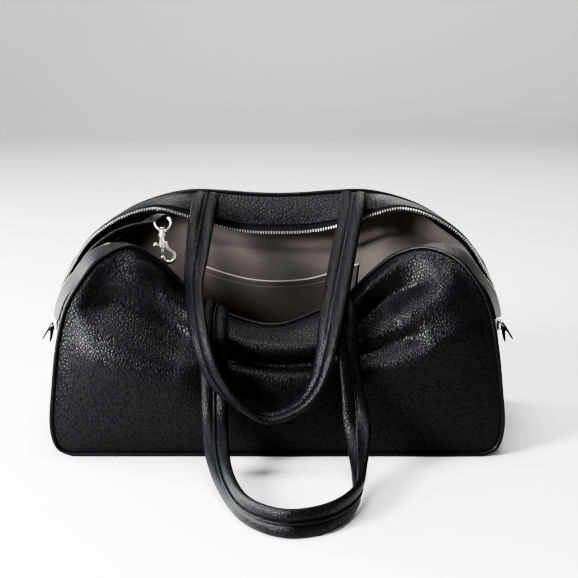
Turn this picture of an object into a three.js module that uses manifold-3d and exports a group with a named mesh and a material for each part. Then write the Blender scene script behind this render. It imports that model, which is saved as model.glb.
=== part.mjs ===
// A soft leather bowling bag, standing on its base with its zip open and its front slumped in the middle.
// Millimetres. X runs along the bag, -Y is the front, +Z is up. The origin is the middle of the underside.
import * as THREE from "three";
import { mergeVertices } from "three/addons/utils/BufferGeometryUtils.js";
import Module from "manifold-3d";

// Driving dimensions
const LEATHER = 2.0; // wall of the panels and gussets
const LINING = 1.0; // wall of the cloth inside
const LINING_GAP = 1.4; // air between leather and cloth
const SEAM_GAP = 0.4; // air between pieces that meet
const PIPING_RADIUS = 2.4;
const PANEL_TRIM = PIPING_RADIUS + 2 * SEAM_GAP; // how far a wall's edge stays from a seam's middle
const BASE_FRONT = -105; // Y of the seam under the front panel
const BASE_BACK = 105;
const SEAM_BASE_Z = 2.8; // height of the piping along the base
const GUSSET_SWELL = 4.5; // how far a side stands out between its two seams
const STRIP_ARCH = 3; // rise of a zip strip between its seam and the zip
const STRIP_STEP = 4; // how far a zip strip's end stands proud, over the side it is sewn to
const ZIP_END = 4.62; // the station where the zip ends
const GUSSET_END = 4.85; // the station where a side stops, under the strips
const TAPE_WIDTH = 8;
const TEETH_WIDTH = 3.6;
const TEETH_THICKNESS = 2.6;
const HANDLE_WIDTH = 28;
const HANDLE_THICKNESS = 8.4;
const HANDLE_WAIST = 4.6; // thickness along the handle's sewn middle

// Rows of values as objects, by the names of their columns.
function table(columns, rows) {
  return rows.map((row) => Object.fromEntries(columns.map((column, i) => [column, row[i]])));
}

// One row for each station of the arch, from a base corner up to the middle of the mouth.
// foot: X where a line up the panel starts on the base. belly: how far that line swells forward.
// crown_y, crown_z: how it leans into the seam. left_z, right_z: the front seam's height on each side.
const STATIONS = table(
  [
    "name", "foot", "front_x", "front_y", "left_z", "right_z", "back_x", "back_y", "back_z", "belly",
    "crown_y", "crown_z",
  ],
  [
    ["corner", 214, 216, -105, 2.8, 2.8, 216, 105, 2.8, 0, 0, 0],
    ["corner_rise", 209, 231, -105, 11, 11, 233, 105, 11, 1, 1, 4],
    ["side_low", 204, 236.5, -106, 36, 36, 241, 104, 36, 5, 4, 12],
    ["side_mid", 196, 233, -107, 78, 78, 244, 101, 85, 10, 7, 26],
    ["side_high", 185, 228, -104, 121, 121, 243, 96, 128, 16, 11, 36],
    ["zip_end", 171, 219, -98, 159, 162, 236, 88, 160, 21, 16, 42],
    ["shoulder", 155, 204, -90, 185, 190, 222, 79, 186, 25, 22, 46],
    ["lobe_out", 138, 184, -78, 207, 209, 200, 71, 209, 28, 29, 46],
    ["lobe_top", 119, 155, -62, 217, 216, 166, 66, 234, 30, 36, 42],
    ["lobe_in", 98, 125, -52, 199, 206, 130, 62, 249, 31, 42, 32],
    ["dip_out", 77, 99, -54, 174, 186, 95, 60, 256, 31, 46, 20],
    ["dip", 55, 73, -62, 157, 163, 60, 59, 255, 31, 48, 10],
    ["valley_side", 33, 44, -71, 143, 150, 30, 58, 253, 31, 50, 6],
    ["valley", 0, 0, -77, 136, 136, 0, 58, 252, 31, 50, 4],
  ],
);
const MIDDLE = STATIONS.length - 1;
const WHOLE = 2 * MIDDLE;

// The open zip's two edges, a row for each station from FIRST_ZIP_STATION to the middle.
const FIRST_ZIP_STATION = 4;
const ZIP_EDGES = table(
  ["front_x", "front_y", "front_z", "back_x", "back_y", "back_z"],
  [
    [244, -3, 106, 244, 3, 106],
    [239, -7, 142, 239, 4, 143],
    [222, -13, 178, 226, 5, 180],
    [198, -15, 205, 204, 4, 213],
    [164, -14, 210, 170, 7, 236],
    [127, -21, 181, 134, 11, 245],
    [100, -23, 154, 97, 21, 234],
    [73, -28, 136, 62, 28, 221],
    [44, -35, 122, 31, 31, 215],
    [0, -40, 113, 0, 31, 214],
  ],
);

// The front panel's folds. Each follows a line of X and Z places across the panel.
// height is outwards for a ridge and negative for a hollow, and width is the fold's half width.
const FOLDS = table(
  ["name", "line", "width", "height"],
  [
    ["left_ridge", [[-166, 213], [-134, 191], [-107, 165], [-83, 140], [-66, 126]], 11, 7],
    ["left_hollow", [[-206, 180], [-160, 164], [-118, 143], [-74, 120]], 21, -15],
    ["left_shelf", [[-228, 116], [-183, 106], [-131, 93], [-70, 82]], 30, 9],
    ["right_ridge", [[144, 209], [108, 187], [86, 163], [66, 140]], 9, 7],
    ["right_hollow", [[166, 196], [123, 174], [92, 151], [64, 122]], 14, -16],
    ["right_swell", [[196, 190], [160, 168], [124, 146]], 18, 6],
    ["right_crease", [[156, 137], [108, 119], [66, 105]], 9, -8],
    ["right_shelf", [[216, 152], [186, 131], [148, 112], [102, 94], [74, 84]], 22, 8],
    ["middle_roll", [[-74, 133], [-28, 121], [8, 119], [44, 122], [76, 135]], 7.5, 6],
    ["middle_groove", [[-86, 119], [-27, 107], [8, 104], [44, 107], [84, 118]], 8.5, -11],
  ],
);
const FOLD_STEPS = 60;

// Small mathematics

// Catmull-Rom through equally spaced values.
function smoothValue(values, position) {
  const i = Math.min(Math.max(Math.floor(position), 0), values.length - 2);
  const t = position - i;
  const last = values.length - 1;
  const [a, b, c, d] = [i - 1, i, i + 1, i + 2].map((k) => values[Math.min(Math.max(k, 0), last)]);
  return b + 0.5 * t * (c - a + t * (2 * a - 5 * b + 4 * c - d + t * (3 * (b - c) + d - a)));
}

function smoothStep(low, high, value) {
  const t = Math.min(Math.max((value - low) / (high - low), 0), 1);
  return t * t * (3 - 2 * t);
}

// A column of a half table as a full row of values from left to right, mirrored about the middle.
function acrossBag(table, leftColumn, rightColumn = leftColumn, leftSign = 1) {
  const left = table.map((row) => leftSign * row[leftColumn]);
  const right = table.map((row) => row[rightColumn]).reverse();
  left[left.length - 1] = (left[left.length - 1] + right[0]) / 2;
  return [...left, ...right.slice(1)];
}

const SEAM = {
  front: [
    acrossBag(STATIONS, "front_x", "front_x", -1),
    acrossBag(STATIONS, "front_y"),
    acrossBag(STATIONS, "left_z", "right_z"),
  ],
  back: [
    acrossBag(STATIONS, "back_x", "back_x", -1),
    acrossBag(STATIONS, "back_y"),
    acrossBag(STATIONS, "back_z"),
  ],
};
const ZIP = {
  front: [
    acrossBag(ZIP_EDGES, "front_x", "front_x", -1),
    acrossBag(ZIP_EDGES, "front_y"),
    acrossBag(ZIP_EDGES, "front_z"),
  ],
  back: [
    acrossBag(ZIP_EDGES, "back_x", "back_x", -1),
    acrossBag(ZIP_EDGES, "back_y"),
    acrossBag(ZIP_EDGES, "back_z"),
  ],
};
const FOOT = acrossBag(STATIONS, "foot", "foot", -1);
const BELLY = acrossBag(STATIONS, "belly");
const CROWN_Y = acrossBag(STATIONS, "crown_y");
const CROWN_Z = acrossBag(STATIONS, "crown_z");

const fromEnd = (station) => Math.min(station, WHOLE - station); // stations to the nearer base corner
const seamPoint = (face, station) =>
  new THREE.Vector3(...SEAM[face].map((values) => smoothValue(values, station)));
const SEAM_STEP = 0.05; // in stations
const seamTangent = (face, station) =>
  seamPoint(face, station + SEAM_STEP).sub(seamPoint(face, station - SEAM_STEP)).normalize();
const zipPoint = (face, station) =>
  new THREE.Vector3(...ZIP[face].map((values) => smoothValue(values, station - FIRST_ZIP_STATION)));

// Surfaces

const BACK_BELLY = 9;
const BACK_CROWN = 26;
const BACK_LEAN = 0.35; // how far the back's crown leans out, for its height
const BELLY_RISE = 0.42; // the belly's height, as a share of the panel's
const BELLY_SHIFT = 0.12; // how far its place has gone from the foot towards the top
// Stations from a corner over which the line up a panel turns from square to its seam to its own lean.
const SQUARE_STATIONS = { from: 4, to: 8 };
const LEAN_STATIONS = { from: 3, to: 9 };
const LEAN_WEIGHT = 3;

// The line up a panel at a station, from the base seam to the top seam, its ends kept clear of the piping.
function panelLine(face, station, trim) {
  const front = face === "front";
  const footY = front ? BASE_FRONT : BASE_BACK;
  const foot = new THREE.Vector3(smoothValue(FOOT, station), footY, SEAM_BASE_Z + trim);
  const top = seamPoint(face, station);
  const tangent = seamTangent(face, station);
  const end = fromEnd(station);
  const belly = front ? -smoothValue(BELLY, station) : BACK_BELLY * smoothStep(0, 6, end);
  const backLean = Math.min(1, top.z / (3 * BACK_CROWN));
  const lean = front
    ? new THREE.Vector3(0, -smoothValue(CROWN_Y, station), -smoothValue(CROWN_Z, station))
    : new THREE.Vector3(0, BACK_CROWN * BACK_LEAN, -BACK_CROWN).multiplyScalar(backLean);
  const inward = foot.clone().sub(top);
  inward.addScaledVector(tangent, -inward.dot(tangent)).normalize();
  // Near a corner the line meets the seam squarely.
  const square = 1 - smoothStep(SQUARE_STATIONS.from, SQUARE_STATIONS.to, end);
  const squareLean = inward.clone().multiplyScalar(lean.length()).setY(lean.y / 2);
  lean.lerp(squareLean, square);
  const leanShare = LEAN_WEIGHT * smoothStep(LEAN_STATIONS.from, LEAN_STATIONS.to, end);
  const down = inward.clone().addScaledVector(lean.clone().normalize(), leanShare);
  down.addScaledVector(tangent, -down.dot(tangent)).normalize();
  top.addScaledVector(down, trim);
  const height = top.z - foot.z;
  const low = foot.clone().lerp(top, BELLY_SHIFT);
  low.set(low.x, foot.y + belly, foot.z + BELLY_RISE * height);
  return new THREE.CubicBezierCurve3(foot, low, top.clone().add(lean), top);
}

const FOLD_START = 0.25; // the shares of its line by which a fold has risen, and from which it sinks
const FOLD_FINISH = 0.8;
const foldLines = FOLDS.map(({ line, width, height }) => {
  const [xs, zs] = [0, 1].map((axis) => line.map((place) => place[axis]));
  const steps = Array.from({ length: FOLD_STEPS + 1 }, (_, i) => (i * (line.length - 1)) / FOLD_STEPS);
  return { width, height, places: steps.map((at) => [smoothValue(xs, at), smoothValue(zs, at)]) };
});

// The folds' height at a place on the front panel.
function foldHeight(x, z) {
  let sum = 0;
  for (const { width, height, places } of foldLines) {
    const distances = places.map(([lineX, lineZ]) => Math.hypot(x - lineX, z - lineZ));
    const distance = Math.min(...distances);
    const share = distances.indexOf(distance) / FOLD_STEPS;
    const ends = smoothStep(0, FOLD_START, share) * smoothStep(1, FOLD_FINISH, share);
    sum += height * ends * Math.exp(-((distance / width) ** 2));
  }
  return sum;
}

const FOLD_FADE = 22; // folds die away this close to a seam
// The way folds stand out: on the panel's face, and on its crown, within CROWN_REACH of the top seam.
const FACE_OUT = new THREE.Vector3(0, -0.95, 0.3);
const CROWN_OUT = new THREE.Vector3(0, -0.6, 0.8);
const CROWN_REACH = { whole: 20, none: 60 };

// A point of a panel at a station, with rise running from the base seam to the top seam.
// share and sink set how much of the folds it follows and how far behind them it hangs, for the lining.
function panelPoint(face, share = 1, sink = 0) {
  return (station, rise) => {
    const line = panelLine(face, station, PANEL_TRIM);
    const point = line.getPointAt(rise);
    if (face === "back") return point;
    const length = line.getLength();
    const drop = (1 - rise) * length;
    const edge = smoothStep(0, FOLD_FADE, drop) * smoothStep(0, FOLD_FADE, rise * length);
    const out = FACE_OUT.clone().lerp(CROWN_OUT, smoothStep(CROWN_REACH.none, CROWN_REACH.whole, drop));
    return point.addScaledVector(out, edge * (share * foldHeight(point.x, point.z) - sink));
  };
}

// A point of a side: across runs from the front seam to the back seam.
function sidePoint(trim) {
  return (station, across) => {
    const front = seamPoint("front", station);
    const back = seamPoint("back", station);
    const width = front.distanceTo(back);
    const share = (trim + across * (width - 2 * trim)) / width;
    const point = front.lerp(back, share);
    const swell = GUSSET_SWELL * smoothStep(0.2, 2, fromEnd(station));
    point.x += Math.sign(point.x) * swell * 4 * share * (1 - share);
    return point;
  };
}

// A point between a seam and the zip: reach is the distance from the zip's edge back towards the seam.
function stripPoint(face, station, reach) {
  const seam = seamPoint(face, station);
  const zip = zipPoint(face, station);
  const width = seam.distanceTo(zip);
  const share = reach / width;
  const point = zip.clone().lerp(seam, share);
  const up = seamTangent(face, station).cross(zip.clone().sub(seam)).normalize();
  if (face === "front") up.negate();
  const end = fromEnd(station);
  const lift = STRIP_STEP * smoothStep(6.2, 5.2, end);
  const arch = STRIP_ARCH * 4 * share * (1 - share) * smoothStep(5, 7, end);
  return point.addScaledVector(up, -(arch + lift));
}

function stripWidth(face, station) {
  return seamPoint(face, station).distanceTo(zipPoint(face, station));
}

// Solids

function solidGeometry(vertices, triangles) {
  const geometry = new THREE.BufferGeometry().setFromPoints(vertices);
  let volume = 0;
  for (let i = 0; i < triangles.length; i += 3) {
    const [a, b, c] = [0, 1, 2].map((k) => vertices[triangles[i + k]]);
    volume += a.dot(b.clone().cross(c));
  }
  geometry.setIndex(volume < 0 ? [...triangles].reverse() : triangles);
  return geometry;
}

// A wall: the surface point(u, v), sampled at us and vs, made solid between two depths below its face.
// inward says which way is down: a point inside the bag, seen from the middle of the surface.
function wall(point, us, vs, depth, thickness, inward) {
  const step = 1e-3;
  const uEnd = us[us.length - 1];
  const normalAt = (u, v) => {
    const u1 = Math.min(u + step * Math.abs(uEnd - us[0]), Math.max(uEnd, us[0]));
    const u0 = u1 - step * Math.abs(uEnd - us[0]);
    const v1 = Math.min(v + step, Math.max(...vs));
    const v0 = v1 - step;
    const alongU = point(u1, v).sub(point(u0, v));
    const alongV = point(u, v1).sub(point(u, v0));
    return alongU.cross(alongV).normalize();
  };
  const uMid = us[Math.floor(us.length / 2)];
  const vMid = vs[Math.floor(vs.length / 2)];
  const sign = normalAt(uMid, vMid).dot(inward.clone().sub(point(uMid, vMid))) > 0 ? 1 : -1;
  const layers = [depth, depth + thickness].map((d) =>
    us.map((u) => vs.map((v) => point(u, v).addScaledVector(normalAt(u, v), sign * d))),
  );
  const vertices = layers.flat(2);
  const [nu, nv] = [us.length, vs.length];
  const id = (layer, i, j) => (layer * nu + i) * nv + j;
  const triangles = [];
  const quad = (a, b, c, d) => triangles.push(a, b, c, a, c, d);
  for (let i = 0; i + 1 < nu; i++)
    for (let j = 0; j + 1 < nv; j++) {
      quad(id(0, i, j), id(0, i + 1, j), id(0, i + 1, j + 1), id(0, i, j + 1));
      quad(id(1, i, j), id(1, i, j + 1), id(1, i + 1, j + 1), id(1, i + 1, j));
    }
  for (let i = 0; i + 1 < nu; i++) {
    quad(id(1, i, 0), id(1, i + 1, 0), id(0, i + 1, 0), id(0, i, 0));
    quad(id(0, i, nv - 1), id(0, i + 1, nv - 1), id(1, i + 1, nv - 1), id(1, i, nv - 1));
  }
  for (let j = 0; j + 1 < nv; j++) {
    quad(id(0, 0, j), id(0, 0, j + 1), id(1, 0, j + 1), id(1, 0, j));
    quad(id(1, nu - 1, j), id(1, nu - 1, j + 1), id(0, nu - 1, j + 1), id(0, nu - 1, j));
  }
  return solidGeometry(vertices, triangles);
}

// Values from low to high in equal steps.
const spread = (low, high, steps) =>
  Array.from({ length: steps + 1 }, (_, i) => low + ((high - low) * i) / steps);

const SWEEP_STEP = 0.02; // in route rows

// A section swept along a route. Each route row has a place and the way the section's width points there.
function sweep(section, rows, steps) {
  const columns = ["x", "y", "z", "wide_x", "wide_y", "wide_z"].map((name) => rows.map((row) => row[name]));
  const at = (s, first) =>
    new THREE.Vector3(...columns.slice(first, first + 3).map((values) => smoothValue(values, s)));
  const last = rows.length - 1;
  const rings = spread(0, last, steps).map((s) => {
    const ahead = at(Math.min(s + SWEEP_STEP, last), 0);
    const behind = at(Math.max(s - SWEEP_STEP, 0), 0);
    const tangent = ahead.sub(behind).normalize();
    const wide = at(s, 3);
    wide.addScaledVector(tangent, -wide.dot(tangent)).normalize();
    const thick = tangent.clone().cross(wide);
    const centre = at(s, 0);
    return section.map((p) => centre.clone().addScaledVector(wide, p.x).addScaledVector(thick, p.y));
  });
  const count = section.length;
  const triangles = [];
  for (let r = 0; r + 1 < rings.length; r++)
    for (let k = 0; k < count; k++) {
      const [a, b] = [r * count + k, r * count + ((k + 1) % count)];
      triangles.push(a, b, b + count, a, b + count, a + count);
    }
  const caps = THREE.ShapeUtils.triangulateShape(section, []);
  const top = (rings.length - 1) * count;
  for (const [a, b, c] of caps) triangles.push(a, c, b, top + a, top + b, top + c);
  return solidGeometry(rings.flat(), triangles);
}

const roundSection = (radius, sides) =>
  Array.from({ length: sides }, (_, i) => (2 * Math.PI * i) / sides).map(
    (angle) => new THREE.Vector2(radius * Math.cos(angle), radius * Math.sin(angle)),
  );

// A round tube along a closed line of places that never runs along Y.
function closedTube(places, radius, sides) {
  const count = places.length;
  const vertices = places.flatMap((place, i) => {
    const tangent = places[(i + 1) % count].clone().sub(places[(i + count - 1) % count]).normalize();
    const across = new THREE.Vector3(0, 1, 0).addScaledVector(tangent, -tangent.y).normalize();
    const up = tangent.clone().cross(across);
    return roundSection(radius, sides).map((p) =>
      place.clone().addScaledVector(across, p.x).addScaledVector(up, p.y),
    );
  });
  const triangles = [];
  for (let r = 0; r < count; r++)
    for (let k = 0; k < sides; k++) {
      const next = ((r + 1) % count) * sides;
      const [a, b] = [k, (k + 1) % sides];
      triangles.push(r * sides + a, r * sides + b, next + b, r * sides + a, next + b, next + a);
    }
  return solidGeometry(vertices, triangles);
}

// Joining with manifold-3d

const wasm = await Module();
wasm.setup();

function toManifold(geometry) {
  const bare = geometry.clone();
  for (const name of Object.keys(bare.attributes)) if (name !== "position") bare.deleteAttribute(name);
  const merged = mergeVertices(bare, 1e-4);
  const mesh = new wasm.Mesh({
    numProp: 3,
    vertProperties: new Float32Array(merged.attributes.position.array),
    triVerts: new Uint32Array(merged.index.array),
  });
  return new wasm.Manifold(mesh);
}

function fromManifold(solid) {
  const mesh = solid.getMesh();
  const geometry = new THREE.BufferGeometry();
  geometry.setAttribute("position", new THREE.BufferAttribute(new Float32Array(mesh.vertProperties), 3));
  geometry.setIndex(new THREE.BufferAttribute(new Uint32Array(mesh.triVerts), 1));
  return geometry;
}

const join = (...geometries) => fromManifold(geometries.map(toManifold).reduce((a, b) => a.add(b)));
const cut = (geometry, ...tools) =>
  fromManifold(tools.map(toManifold).reduce((a, b) => a.subtract(b), toManifold(geometry)));

// Materials

const leather = new THREE.MeshStandardMaterial({ color: 0x17171a, roughness: 0.5 });
const smoothLeather = new THREE.MeshStandardMaterial({ color: 0x1b1b1e, roughness: 0.42 });
const cloth = new THREE.MeshStandardMaterial({ color: 0x4c4745, roughness: 0.85 });
const tapeCloth = new THREE.MeshStandardMaterial({ color: 0x0e0e0f, roughness: 0.9 });
const nickel = new THREE.MeshStandardMaterial({ color: 0xc9c8c2, roughness: 0.28, metalness: 1 });

const bag = new THREE.Group();
function piece(name, geometry, material, parent = bag) {
  const mesh = new THREE.Mesh(geometry, material);
  mesh.name = name;
  parent.add(mesh);
  return mesh;
}

// The two panels and their piping

const INSIDE = new THREE.Vector3(0, 0, 90);
const PANEL_ENDS = 0.75; // the first station whose line up the panel is long enough to carry the wall
const halfStations = [PANEL_ENDS, 1, 1.25, 1.55, 2, 2.6, ...spread(3.3, MIDDLE, 15)];
const otherHalf = halfStations.map((station) => WHOLE - station).reverse();
const panelStations = [...halfStations, ...otherHalf.slice(1)];
const panelRows = [0, 0.12, 0.25, 0.38, 0.5, 0.6, 0.69, 0.77, 0.84, 0.9, 0.95, 1];
const PIPING_STRAIGHT = 130; // half of the piping's straight run under the bag
const cornerStations = spread(0, 2.25, 9);
const seamStations = [
  ...cornerStations,
  ...spread(2.75, WHOLE - 2.75, 45),
  ...cornerStations.map((station) => WHOLE - station).reverse(),
];
for (const face of ["front", "back"]) {
  const rows = face === "front" ? panelRows : spread(0, 1, 5);
  piece(`${face}_panel`, wall(panelPoint(face), panelStations, rows, 0, LEATHER, INSIDE), leather);
  const arch = seamStations.map((station) => seamPoint(face, station));
  const y = face === "front" ? BASE_FRONT : BASE_BACK;
  const straight = spread(PIPING_STRAIGHT, -PIPING_STRAIGHT, 2);
  const under = straight.map((x) => new THREE.Vector3(x, y, SEAM_BASE_Z));
  piece(`piping_${face}`, closedTube([...arch, ...under], PIPING_RADIUS, 6), smoothLeather);
}

// The base and the sides

const BASE_HALF_LENGTH = 214;
const baseDepth = BASE_BACK - BASE_FRONT - 2 * PANEL_TRIM;
const base = new THREE.BoxGeometry(2 * BASE_HALF_LENGTH, baseDepth, LEATHER);
piece("base_panel", base, leather).position.z = LEATHER / 2;

const SIDE_START = 0.06;
const sideAcross = spread(0, 1, 6);
for (const [side, from, to] of [
  ["left", SIDE_START, GUSSET_END],
  ["right", WHOLE - GUSSET_END, WHOLE - SIDE_START],
]) {
  const stations = spread(from, to, 10);
  const gusset = wall(sidePoint(PANEL_TRIM), stations, sideAcross, 0, LEATHER, INSIDE);
  piece(`side_gusset_${side}`, gusset, leather);
}

// The zip: a leather strip, a woven tape and a row of teeth on each side of the mouth

const zipStations = spread(ZIP_END, WHOLE - ZIP_END, 36);
const UNDER_ZIP = new THREE.Vector3(0, 0, 60);
const TEETH_PROUD = 0.3; // how far the teeth stand above the strip's face
const TAPE_DEPTH = 0.6; // how far the tape lies below it
const tapeNear = TEETH_WIDTH / 2 + SEAM_GAP;
const tapeFar = TAPE_WIDTH - SEAM_GAP;
for (const face of ["front", "back"]) {
  const strip = (station, share) => {
    const far = stripWidth(face, station) - PANEL_TRIM - SEAM_GAP;
    return stripPoint(face, station, TAPE_WIDTH + share * (far - TAPE_WIDTH));
  };
  const tape = (station, share) => stripPoint(face, station, tapeNear + share * (tapeFar - tapeNear));
  const teeth = (station, share) => stripPoint(face, station, TEETH_WIDTH * (share - 0.5));
  piece(`zip_strip_${face}`, wall(strip, zipStations, spread(0, 1, 3), 0, LEATHER, UNDER_ZIP), leather);
  const tapeWall = wall(tape, zipStations, [0, 1], TAPE_DEPTH, LINING, UNDER_ZIP);
  piece(`zip_tape_${face}`, tapeWall, tapeCloth);
  const teethWall = wall(teeth, zipStations, [0, 1], -TEETH_PROUD, TEETH_THICKNESS, UNDER_ZIP);
  piece(`zip_teeth_${face}`, teethWall, nickel);
}

// The cloth lining and the slip pocket sewn to its back

const LINING_DEPTH = LEATHER + LINING_GAP;
const LINING_SHARE = 0.62; // how much of the folds the cloth follows
const LINING_SINK = 7; // and how far behind them it hangs
const LINING_FOOT = 0.06; // its lower and upper edges' rise up a panel
const LINING_TOP = 0.95;
const LINING_EDGE = 0.06; // how far across a side it starts and ends
const CLOTH_ENDS = 1.55; // the first station of the cloth behind a panel
const SIDE_CLOTH_START = 0.7; // the first station of the cloth on a side
const CLOTH_CORNER = 8; // how far the base's cloth stays from the base's ends
const CLOTH_SIDES = 11; // and from its long edges
const clothStations = panelStations.filter((station) => fromEnd(station) >= CLOTH_ENDS);
for (const face of ["front", "back"]) {
  const rows = spread(LINING_FOOT, LINING_TOP, face === "front" ? 9 : 5);
  const surface = panelPoint(face, LINING_SHARE, LINING_SINK);
  piece(`lining_${face}`, wall(surface, clothStations, rows, LINING_DEPTH, LINING, INSIDE), cloth);
}
for (const [side, from, to] of [
  ["left", SIDE_CLOTH_START, GUSSET_END],
  ["right", WHOLE - GUSSET_END, WHOLE - SIDE_CLOTH_START],
]) {
  const stations = spread(from, to, 10);
  const across = spread(LINING_EDGE, 1 - LINING_EDGE, 5);
  const lining = wall(sidePoint(PANEL_TRIM), stations, across, LINING_DEPTH, LINING, INSIDE);
  piece(`lining_${side}`, lining, cloth);
}
const liningBase = new THREE.BoxGeometry(
  2 * (BASE_HALF_LENGTH - CLOTH_CORNER), baseDepth - 2 * CLOTH_SIDES, LINING,
);
piece("lining_base", liningBase, cloth).position.z = LINING_DEPTH + LINING / 2;

// stations: half its length. low, high: its edges' rise up the back. sag, open: how its top edge hangs.
const POCKET = { stations: 3.1, low: 0.24, high: 0.65, sag: 0.055, open: 15, gap: 1 };
function pocketPoint(station, share) {
  const sag = 1 - ((station - MIDDLE) / POCKET.stations) ** 2;
  const rise = POCKET.low + share * (POCKET.high - POCKET.low - POCKET.sag * sag);
  const point = panelPoint("back")(station, rise);
  point.y -= POCKET.open * share * share * sag;
  return point;
}
const pocketStations = spread(MIDDLE - POCKET.stations, MIDDLE + POCKET.stations, 12);
const pocketDepth = LINING_DEPTH + LINING + POCKET.gap;
const pocket = wall(pocketPoint, pocketStations, spread(0, 1, 4), pocketDepth, LINING, INSIDE);
piece("slip_pocket", pocket, cloth);

// The handles: two rolls of leather sewn together along the middle

const HANDLE_SECTION = [
  [-0.5, 0, 0], [-0.41, -0.39, 0], [-0.25, -0.5, 0], [0, 0, -0.5], [0.25, -0.5, 0], [0.41, -0.39, 0],
  [0.5, 0, 0], [0.41, 0.39, 0], [0.25, 0.5, 0], [0, 0, 0.5], [-0.25, 0.5, 0], [-0.41, 0.39, 0],
].map(([wide, thick, waist]) =>
  new THREE.Vector2(wide * HANDLE_WIDTH, thick * HANDLE_THICKNESS + waist * HANDLE_WAIST),
);
// Each row is a place on the handle's middle line and the way its width points there, from left to right.
const BACK_HANDLE = table(
  ["x", "y", "z", "wide_x", "wide_y", "wide_z"],
  [
    [-79, 45, 254, 1, 0, -0.03],
    [-82, 12, 238, 1, -0.1, -0.33],
    [-85, -30, 210, 0.72, -0.68, -0.1],
    [-86, -85, 180, 0.42, -0.9, 0],
    [-81, -126, 151, 0.5, -0.86, 0],
    [-73, -149, 124, 0.62, -0.78, 0],
    [-59, -155, 95, 0.66, -0.75, 0],
    [-38, -155, 72, 0.5, -0.87, 0],
    [-8, -153, 58, 0.1, -1, 0],
    [22, -150, 69, 0.2, -0.98, 0],
    [40, -148, 92, 0.42, -0.9, 0],
    [50, -140, 125, 0.64, -0.77, 0],
    [57, -117, 159, 0.82, -0.57, 0],
    [66, -66, 190, 0.91, -0.42, 0],
    [74, -20, 218, 0.97, -0.26, 0.1],
    [81, 13, 239, 1, -0.1, 0.33],
    [84, 44.5, 254.6, 1, 0, 0.03],
  ],
);
const FRONT_HANDLE = table(
  ["x", "y", "z", "wide_x", "wide_y", "wide_z"],
  [
    [-64, -80, 157, 0.86, -0.2, -0.5],
    [-65, -104, 150, 0.95, -0.1, -0.3],
    [-65, -126, 128, 1, 0, -0.1],
    [-64, -134, 92, 1, 0, 0.05],
    [-63, -148, 57, 0.95, 0.05, 0.3],
    [-59, -186, 31, 0.72, 0.15, 0.68],
    [-46, -246, 17.5, 0.3, 0.1, 0.95],
    [-25, -304, 14.8, 0.05, 0.05, 1],
    [10, -334, 14.8, 0, 0.08, 1],
    [50, -317, 14.8, -0.05, 0.05, 1],
    [76, -268, 15.5, 0.12, 0, 1],
    [82, -214, 23, 0.42, -0.3, 0.86],
    [82, -176, 45, 0.72, -0.1, 0.5],
    [78, -150, 80, 0.72, 0.5, 0],
    [72, -134, 120, 0.6, 0.62, 0],
    [68, -106, 152, 0.8, 0.3, 0.35],
    [65, -80, 163, 0.86, -0.1, 0.5],
  ],
);
piece("handle_back", sweep(HANDLE_SECTION, BACK_HANDLE, 48), leather);
piece("handle_front", sweep(HANDLE_SECTION, FRONT_HANDLE, 48), leather);

// The two zip sliders with their folded leather pulls

const SLIDER = { x: 243.9, y: -0.5, z: 117, width: 9, height: 12, depth: 4 };
const PULL_WIDTH = 12;
const PULL_PROFILE = [
  [0.4, -3.5], [0.3, -0.5], [1, 1.4], [2.4, 2.1], [3.9, 1], [13.7, -15], [12.2, -16], [3.7, -3],
  [5.4, -18.4], [3.6, -18.7],
];
const SLIDER_OUTLINE = [[-0.5, -0.3], [-0.3, -0.5], [0.3, -0.5], [0.5, -0.3], [0.5, 0.5], [-0.5, 0.5]];
const sliderShape = new THREE.Shape(
  SLIDER_OUTLINE.map(([across, up]) => new THREE.Vector2(across * SLIDER.width, up * SLIDER.height)),
);
for (const [side, sign] of [["left", -1], ["right", 1]]) {
  const body = new THREE.ExtrudeGeometry(sliderShape, { depth: SLIDER.depth, bevelEnabled: false });
  body.rotateX(Math.PI / 2).rotateZ((sign * Math.PI) / 2);
  body.translate(sign * (SLIDER.x - SLIDER.depth / 2), SLIDER.y, SLIDER.z);
  piece(`slider_${side}`, body, nickel);
  const fold = new THREE.Shape(PULL_PROFILE.map(([out, up]) => new THREE.Vector2(sign * out, up)));
  const pull = new THREE.ExtrudeGeometry(fold, { depth: PULL_WIDTH, bevelEnabled: false });
  pull.rotateX(Math.PI / 2);
  pull.translate(sign * (SLIDER.x + SLIDER.depth / 2), SLIDER.y + PULL_WIDTH / 2, SLIDER.z);
  piece(`pull_${side}`, pull, smoothLeather);
}

// The key strap and its swivel hook. The hook hangs from its eye's bar, which turns in the strap's end loop.
// Its parts are drawn round the bar's middle, with X along the bar and Z up, then set in place.

const EYE_PLACE = new THREE.Vector3(-125, 2, 236.2);
const EYE_TURN = THREE.MathUtils.degToRad(-34); // the bar's turn from X, about Z
const WIRE_RADIUS = 1.5;
const PIN_RADIUS = 1.5;
const RUNNING_GAP = 0.4; // clearance of the swivel pin and of the bolt
const LOOP_LENGTH = 11;
const LOOP_WALL = 2.2;
const STRAP_WIDTH = 12;
const BARREL_RADIUS = 3.7;
const HOOK_WIRE = 2.4;
const BOLT_TRAVEL = 5;
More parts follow.
